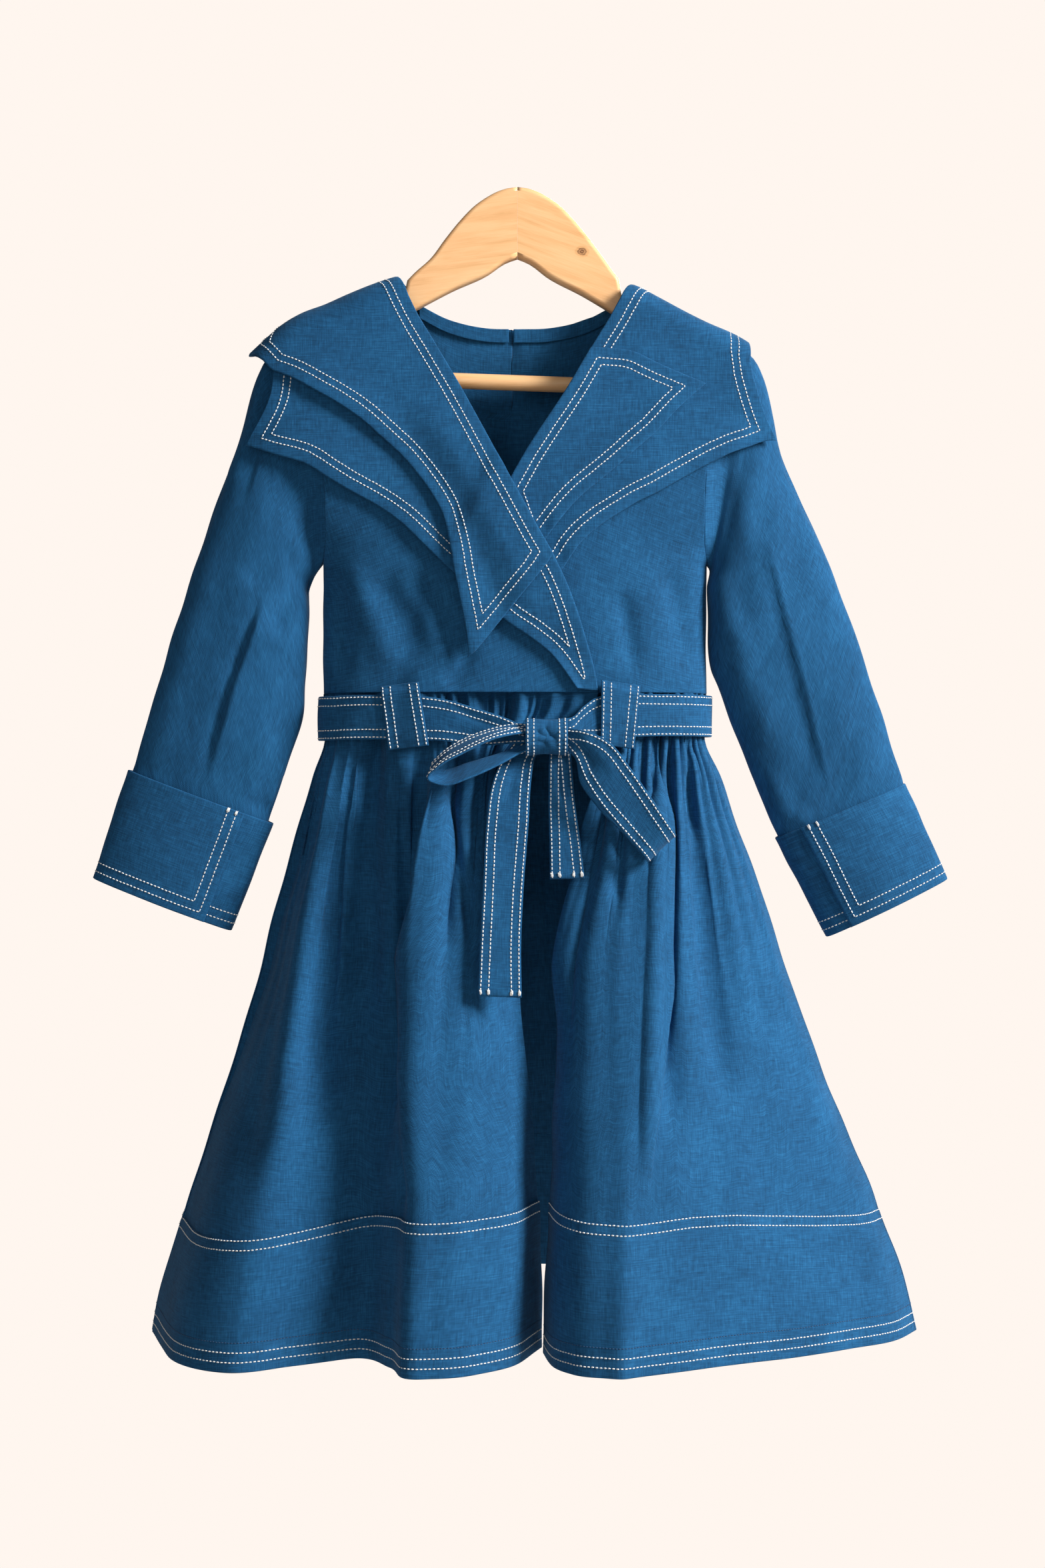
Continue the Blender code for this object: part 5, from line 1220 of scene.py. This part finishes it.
def panel_rows(panel, downs, per_column):
    """A panel's inner face: rows at ways down from the waist, columns along the gathers."""
    count = PANEL_COLUMNS[panel]
    line = waist_line(panel)
    dense = np.linspace(0, 1, 81)
    gaps = np.linalg.norm(np.diff(hem_line(panel, dense)[:, :2], axis=0), axis=1)
    hem_way = np.concatenate(([0], np.cumsum(gaps)))
    place = np.linspace(0, count - 1, (count - 1) * per_column + 1)
    place = np.concatenate((place[:1], (0.015, 0.05, 0.12), place[1:-1],
                            count - 1 - np.array((0.12, 0.05, 0.015)), place[-1:]))
    share = np.interp(place / (count - 1), 0.5 * dense + 0.5 * hem_way / hem_way[-1], dense)
    hem = hem_line(panel, share)
    band_z, hem_z = hem[:, 2], hem[:, 3]
    down = np.asarray(downs, float)[:, None]
    flare = read(FLARE, down[:, 0])[:, :1]
    base = mix(at_share(line, share)[None], hem[None, :, :2], flare[..., None])
    if panel != "back":
        base[..., 0] += (read(SPLIT[panel], down[:, 0])[:, :1] - base[:, :1, 0]) * (1 - ease(share / 0.45))
    along = np.stack([np.gradient(base[..., c], place, axis=1) for c in (0, 1)], -1)
    space = np.linalg.norm(along, axis=-1)
    turn = -1 if panel == "left" else 1
    outward = np.stack((-along[..., 1], along[..., 0]), -1) / space[..., None] * turn
    edge = np.minimum(np.minimum(place, count - 1 - place), 3) / 3
    gather = np.minimum(read(GATHER, down[:, 0])[:, :1] * (0.75 + 0.25 * np.sin(place * 2.4)), 0.8 * space)
    inward = gather * edge * (1 - np.cos(math.pi * place)) / 2
    for at, depth, width, first, last in FOLDS[panel]:
        shape = np.exp(-((share - at) / width) ** 2)
        inward = inward + edge * depth * ease((down - first) / 0.06) * ease((last - down) / 0.12) * shape
    draw = np.random.RandomState(count)
    for _ in range(PLEATS):
        at, width, reach = draw.uniform(0.03, 0.97), draw.uniform(0.006, 0.018), draw.uniform(0.08, 0.46)
        depth = draw.uniform(1.2, 4.2)
        shape = np.exp(-((share - at) / width) ** 2)
        inward = inward + depth * edge * shape * ease((reach - down) / reach) * ease((down + 0.01) / 0.02)
    flat = base - outward * inward[..., None]
    low = down / BAND_SHARE
    z = np.where(down <= BAND_SHARE, mix(SKIRT_TOP_Z, band_z[None], low),
                 mix(band_z[None], hem_z[None], (down - BAND_SHARE) / (1 - BAND_SHARE)))
    return np.concatenate((flat, z[..., None]), -1)


def skirt(name, band_name, panel, facing, seed):
    """A panel and its hem band, sewn together, with the same folds running down through both."""
    length = SKIRT_LENGTH * BAND_SHARE
    grid = panel_rows(panel, close_ends(80, length) * BAND_SHARE, FINENESS[panel])
    side = facing[1]
    settle = ease(-(grid[..., 2] + 320) / 30)
    wear = crumple(grid, *SKIRT_WEAR) * settle + crease(grid, SKIRT_CREASES[panel], side)
    Cloth(name, grid, facing, LIGHT_WALL, "gathered", seed, relief=wear)
    start = BAND_SHARE - BAND_LAP
    grid = panel_rows(panel, start + close_ends(16, SKIRT_LENGTH - length) * (1 - start), FINENESS[panel])
    wear = crumple(grid, *SKIRT_WEAR) + crease(grid, SKIRT_CREASES[panel], side)
    band = Cloth(band_name, grid, facing, HEAVY_WALL, "hung", seed + 1, relief=wear)
    white, blue = ([trimmed(band.inset(*place), 0.6) for place in rows] for rows in BAND_ROWS)
    sew(band_name + "_thread", white, seed=seed)
    sew(band_name + "_tack_thread", blue, BLUE_COTTON, 0.8, seed)


skirt("skirt_front_right", "hem_band_front_right", "right", (0, -1, 0), 13)
skirt("skirt_front_left", "hem_band_front_left", "left", (0, -1, 0), 15)
skirt("skirt_back", "hem_band_back", "back", (0, 1, 0), 17)


# Belt: a long double strip of the denim, stitched along both edges, that goes round the waist through two
# wide loops sewn to the dress and is tied at the front.
BELT_LIFT = 2.3
KNOT = (16.6, -46.5, -322.8)
KNOT_SIZE = (24.0, 14.0, 21.0)
BELT_EDGES = (  # x on the front, z of the upper edge, z of the lower edge, distance forward of the waist
    (-113, -298.6, -324.2, 0), (-80, -298.4, -323.8, 0), (-54.6, -299.2, -324.6, 0), (-41.7, -301, -325, 0.6),
    (-23, -306.4, -327.5, 2.5), (-5.6, -312.2, -326.8, 5), (3.8, -316.5, -326.2, 6.6),
)
BELT_EDGES_LEFT = (
    (29.4, -312, -325, 7), (37, -305.5, -324.6, 4.5), (45.4, -299.8, -324.4, 2), (60, -298.2, -323, 0.5),
    (85, -297.8, -322, 0), (110, -298, -322, 0),
)
STRIP_ROWS = (1.6, 6.0)
KNOT_ROWS = (1.6, 5.0)


def belt_side(panel, share):
    """A place on the belt's line round the side and back, stood off from the waist."""
    line = waist_line(panel)
    here = at_share(line, share)
    along = at_share(line, min(share + 0.01, 1)) - at_share(line, max(share - 0.01, 0))
    outward = np.array((-along[1], along[0])) / np.linalg.norm(along)
    return here + (outward if outward @ here > 0 else -outward) * BELT_LIFT


def belt_front(x):
    """The belt's place on the front: y, and z of its upper and lower edges."""
    x = np.asarray(x, float)
    rows = np.where((x < KNOT[0])[..., None], read(BELT_EDGES, x), read(BELT_EDGES_LEFT, x))
    layers = np.where(x < KNOT[0], right_lift(x, WAIST_Z), 0.0)
    return -stand_off(x, WAIST_Z, False) - layers - BELT_LIFT - rows[..., 2], rows[..., 0], rows[..., 1]


belt_path = [(x, *(float(v) for v in belt_front(x)))
             for x in (6.5, 3.8, -1, -8, -16, -25, -34, -43, -52, -61, -70, -79, -87, -94, -100)]
belt_path += [(*belt_side("right", share), -298.6, -324.2) for share in (0.9, 0.94, 0.975)]
for belt_share in (0, 0.02, 0.05, 0.09, 0.15, 0.22, 0.3, 0.38, 0.46, 0.54, 0.62, 0.7, 0.78, 0.85, 0.91,
                   0.95, 0.98, 1):
    belt_path.append((*belt_side("back", belt_share), mix(-298.6, -298, belt_share),
                      mix(-324.2, -322, belt_share)))
belt_path += [(*belt_side("left", share), -298, -322) for share in (0.94, 0.86, 0.78)]
belt_path += [(x, *(float(v) for v in belt_front(x))) for x in (96, 88, 79, 70, 61, 53, 45, 37, 29.4, 26.5)]
belt_line = smooth_line(belt_path, 2.2)
belt_x, belt_y, belt_top, belt_low = (belt_line[:, c][None] for c in range(4))
belt_down = close_ends(16, 25)[:, None]
belt_grid = np.stack((belt_x + belt_down * 0, belt_y - 0.3 * np.sin(math.pi * belt_down),
                      mix(belt_top, belt_low, belt_down)), -1)
BELT_CREASES = (
    ("soft", -0.9, 3, ((-40, -304), (-20, -313), (0, -320))),
    ("soft", -0.8, 3, ((-30, -322), (-12, -322), (2, -323))),
    ("soft", -0.8, 3, ((46, -304), (38, -311), (31, -317))),
    ("soft", 0.6, 4, ((-86, -300), (-83, -311), (-86, -322))),
)
belt_wear = crumple(belt_grid, 41, 0.35, 24) + 0.3 + crease(belt_grid, BELT_CREASES)
belt = Cloth("belt", belt_grid, (0, 1, 0), HEAVY_WALL, "folded", 19, relief=belt_wear)
sew("belt_thread", [belt.inset(edge, distance) for edge in ("top", "bottom") for distance in STRIP_ROWS],
    seed=19)

LOOP_LIFT = PITCH + 0.2
LOOP_HEIGHTS = ((0, -2.4), (0.05, -2.2), (0.12, 0.2), (0.5, 0.3), (0.85, 0.1), (0.93, -0.3), (1, -0.7))


def belt_loop(name, corners, seed):
    """A wide loop over the belt: corners are the x and z of its top and bottom, left and right."""
    (x0, z0), (x1, z1), (x2, z2), (x3, z3) = corners
    down = close_ends(34, 37)[:, None]
    forward = np.interp(down, [row[0] for row in LOOP_HEIGHTS], [row[1] for row in LOOP_HEIGHTS])
    share = close_ends(18, 21)[None]
    x = mix(mix(x0, x1, share), mix(x3, x2, share), down)
    z = mix(mix(z0, z1, share), mix(z3, z2, share), down)
    grid = np.stack((x, belt_front(x)[0] - LOOP_LIFT - forward - 0.3, z), -1)
    made = Cloth(name, grid, (0, -1, 0), HEAVY_WALL, "folded", seed, relief=crumple(grid, 43, 0.2, 20))
    sew(name + "_thread", [trimmed(made.inset(edge, distance), 0.8) for edge in ("left", "right")
                           for distance in STRIP_ROWS],
        seed=seed)


belt_loop("belt_loop_right", ((-78.6, -293.5), (-56.5, -291), (-50.4, -327.4), (-73.7, -330)), 20)
belt_loop("belt_loop_left", ((48, -290), (70.5, -293), (67, -329.5), (47.2, -327)), 22)


# Bow: the belt's two ends tied in a plain bow. One loop is seen from its side with the inside showing, the
# other lies flat and slants down. The tails hang, each with a tack of white cotton at its tip.
def strip(name, rows, facing, seed, wear, tip=False):
    """A ribbon through pairs of edge points, smooth along its length, stitched along both edges."""
    rows = np.array(rows, float)
    fine = smooth_line(rows, 1.8)
    share = close_ends(14, 22)[None, :, None]
    grid = mix(fine[:, None, :3], fine[:, None, 3:], share)
    made = Cloth(name, grid, facing, HEAVY_WALL, "folded", seed, relief=wear(grid))
    lines = [trimmed(made.inset(edge, distance), 0.4) for edge in ("left", "right")
             for distance in STRIP_ROWS]
    sew(name + "_thread", lines, seed=seed)
    if tip:
        tacks = []
        for spots, ups in lines:
            along = spots[-1] - spots[-3]
            tacks.append((spots[-3], ups[-3], along / np.linalg.norm(along)))
        knots(name + "_tacks", tacks, seed=seed)


strip("bow_loop_right", (
    (10, -44.5, -317.5, 10, -48, -320), (7, -44, -316.5, 7, -49, -320.5),
    (-12, -44, -318.5, -12, -60, -324.5), (-30, -45, -325, -30, -65, -332.5),
    (-43, -47, -333, -45, -66, -341), (-47.5, -48, -338.5, -49.5, -66, -346.5),
    (-42, -48, -341.5, -42, -64, -349.5), (-28, -47, -337.5, -28, -62, -346),
    (-12, -46, -332.5, -12, -57, -339), (3, -45, -327, 3, -49.5, -331), (8, -45, -326, 8, -48.5, -329)),
    (0, 0, 1), 23, lambda grid: crumple(grid, 51, 0.45, 22))
strip("bow_loop_left", (
    (26, -48, -317.5, 26, -48, -326), (29.3, -49, -318, 29.3, -48.5, -329),
    (38, -53, -319.5, 33, -51.5, -334), (52, -56, -326, 38, -54, -346.5), (63, -58, -339.5, 47, -56, -361),
    (76, -59, -358, 59, -57, -375.5), (88, -58, -376, 72, -56, -391), (89, -54, -377.5, 73, -52, -392.5),
    (77, -51, -360, 60, -49, -378), (62, -49, -341, 46, -47, -363.5), (48, -47, -330, 36, -45, -349.5),
    (31, -45, -322, 31, -44, -333), (27, -45, -321, 27, -44, -330)),
    (0, -1, 0), 24, lambda grid: crumple(grid, 52, 0.45, 22) + crease(grid, (
        ("soft", -1.2, 3, ((32, -322), (40, -332), (46, -345))),
        ("soft", 0.8, 4, ((34, -320), (48, -330), (60, -348))))))
strip("belt_tail_right", (
    (2, -37, -321, 16, -37, -320), (-2, -37, -326, 16, -37, -325), (-9.5, -40, -338, 10.5, -40, -334),
    (-14.5, -45, -351, 8, -45, -348), (-17.5, -52, -372, 6.5, -52, -371), (-19, -61, -404, 4, -61, -403),
    (-20.5, -68, -436, 2.3, -68, -436), (-21.8, -75, -467, 2.5, -75, -468)),
    (0, -1, 0), 25, lambda grid: crumple(grid, 53, 0.4, 26) + crease(grid, (
        ("soft", -1.0, 3, ((4, -332), (-2, -345), (-6, -362))),
        ("soft", -0.8, 3, ((8, -332), (4, -343), (2, -352))))), True)
strip("belt_tail_left", (
    (18.8, -37, -322, 29.5, -37, -320), (18.8, -37, -328, 29.5, -37, -326),
    (18.2, -39, -336, 30.6, -39, -334), (17.8, -42, -361, 33, -42, -361), (18.3, -46, -384, 36, -46, -384),
    (18.5, -48, -403.5, 38.2, -48, -403)),
    (0, -1, 0), 26, lambda grid: crumple(grid, 54, 0.4, 24) + crease(grid, (
        ("soft", -1.0, 2.5, ((24, -334), (24, -350), (26, -362))),)), True)

knot_along = close_ends(30, 24)[:, None] * 2 - 1
knot_turn = np.linspace(0, 2 * math.pi, 80, endpoint=False)[None]
knot_size = 0.93 + 0.07 * knot_along ** 2
knot_grid = np.stack((KNOT[0] + knot_along * KNOT_SIZE[0] / 2 + knot_turn * 0,
                      KNOT[1] + np.cos(knot_turn) * (KNOT_SIZE[1] / 2 - 1.2) * knot_size,
                      KNOT[2] + np.sin(knot_turn) * (KNOT_SIZE[2] / 2 - 1.2) * knot_size), -1)
KNOT_CREASES = (
    ("soft", -1.1, 1.6, ((10, -316), (14, -321), (20, -322), (25, -318))),
    ("soft", -0.9, 1.4, ((8, -326), (14, -324), (19, -328))),
    ("soft", -0.8, 1.3, ((15, -315), (18, -319), (24, -325))),
    ("soft", 0.5, 2.5, ((12, -318), (17, -324), (22, -329))),
)
knot_wear = crumple(knot_grid, 55, 0.3, 12) + crease(knot_grid, KNOT_CREASES)
knot = Cloth("bow_knot", knot_grid, (0, -1, 0), HEAVY_WALL, "folded", 27, tube=True, relief=knot_wear)
sew("bow_knot_thread", [knot.inset(edge, distance) for edge in ("top", "bottom")
                        for distance in KNOT_ROWS], seed=27)


# Back neck: a narrow binding turned in along the neck edge on each side of the slit, and a blue sewn-through
# button on one side with a loop of denim cord on the other.
BINDING_END = 58.0
BINDING_WIDE = 8.0
BACK_CLOTH = 1.2
BUTTON = (3.0, -89.0)
BUTTON_RADIUS = 5.0
BUTTON_THICK = 2.4
HOLE_OUT = 1.25
THREADS_APART = 0.55
BUTTON_PROFILE = (  # radius, height off the cloth
    (4.2, 0), (4.85, 0.35), (5.0, 1.0), (5.0, 1.5), (4.8, 2.1), (4.3, 2.4), (3.9, 2.3), (3.5, 1.75),
    (3.1, 1.6),
)
BUTTON_FACE = 1.6
CORD_RADIUS = 0.9
CORD_TAIL = 7.0


def binding(name, side, seed):
    x = mix(SLIT_X + side * (SLIT_WIDTH / 2 + 0.3), side * BINDING_END, close_ends(40, 56))[None]
    run = from_ridge(x, read(BACK_NECK, np.abs(x))[..., 0]) + BINDING_WIDE * close_ends(8, 8)[:, None]
    grid = surface(x, run)
    grid[..., 1] -= PITCH
    Cloth(name, grid, (0, 1, 0), LIGHT_WALL, "folded", seed)


binding("neck_binding_right", -1, 28)
binding("neck_binding_left", 1, 29)

resin, _, resin_shader = blank("blue button", 0.32)
resin_shader.inputs["Base Color"].default_value = (0.012, 0.028, 0.065, 1)
button_y = float(surface(BUTTON[0], from_ridge(*BUTTON))[1]) + BACK_CLOTH + CLEARANCE
turn = np.linspace(0, 2 * math.pi, 48, endpoint=False)
button_rings = [[(BUTTON[0] + r * math.cos(a), button_y + y, BUTTON[1] + r * math.sin(a)) for a in turn]
                for r, y in BUTTON_PROFILE]
button_tips = [(BUTTON[0], button_y + y, BUTTON[1]) for y in (0, BUTTON_FACE)]
show("back_button", ring_mesh("back_button", button_rings, button_tips), resin, "back_button", slot="button")

button_rows = []
for offset in (-THREADS_APART, THREADS_APART):
    for way in ((HOLE_OUT, HOLE_OUT), (HOLE_OUT, -HOLE_OUT)):
        start = np.array((BUTTON[0] - way[0], button_y + 1.75, BUTTON[1] - way[1] + offset))
        end = np.array((BUTTON[0] + way[0], button_y + 1.75, BUTTON[1] + way[1] + offset))
        up = np.array((0.0, 1.0, 0.0))
        button_rows.append((np.array((start, mix(start, end, 0.5) + up * 0.25, end)), np.array((up, up, up))))
sew("back_button_thread", button_rows, size=1.3)

cord_y = button_y + BUTTON_THICK / 2
cord_ring = BUTTON_RADIUS + CORD_RADIUS + CLEARANCE
tail_x = BUTTON[0] - cord_ring - CORD_TAIL
path = [(tail_x, cord_y, BUTTON[1] + 2)]
path += [(BUTTON[0] + cord_ring * math.cos(math.radians(a)), cord_y,
          BUTTON[1] + cord_ring * math.sin(math.radians(a)))
         for a in np.linspace(130, -130, 9)]
path += [(tail_x, cord_y, BUTTON[1] - 2)]
path = smooth_line(path, 0.7)
along = np.gradient(path, axis=0)
along /= np.linalg.norm(along, axis=1)[:, None]
out_way = np.cross(along, (0, 1, 0))
turn = np.linspace(0, 2 * math.pi, 12, endpoint=False)
spots = path[:, None] + CORD_RADIUS * (np.cos(turn)[None, :, None] * out_way[:, None]
                                       + np.sin(turn)[None, :, None] * np.array((0, 1, 0)))
show("button_loop", ring_mesh("button_loop", spots), denim("cord denim", 30), "button_loop")
tack_up = np.array((0.0, 1.0, 0.0))
tack_at = np.array((tail_x + 0.5, cord_y + CORD_RADIUS - 0.1, BUTTON[1]))
knots("button_loop_tack", [(tack_at + (0, 0, 2), tack_up, np.array((1.0, 0, 0))),
                           (tack_at - (0, 0, 2), tack_up, np.array((1.0, 0, 0)))])
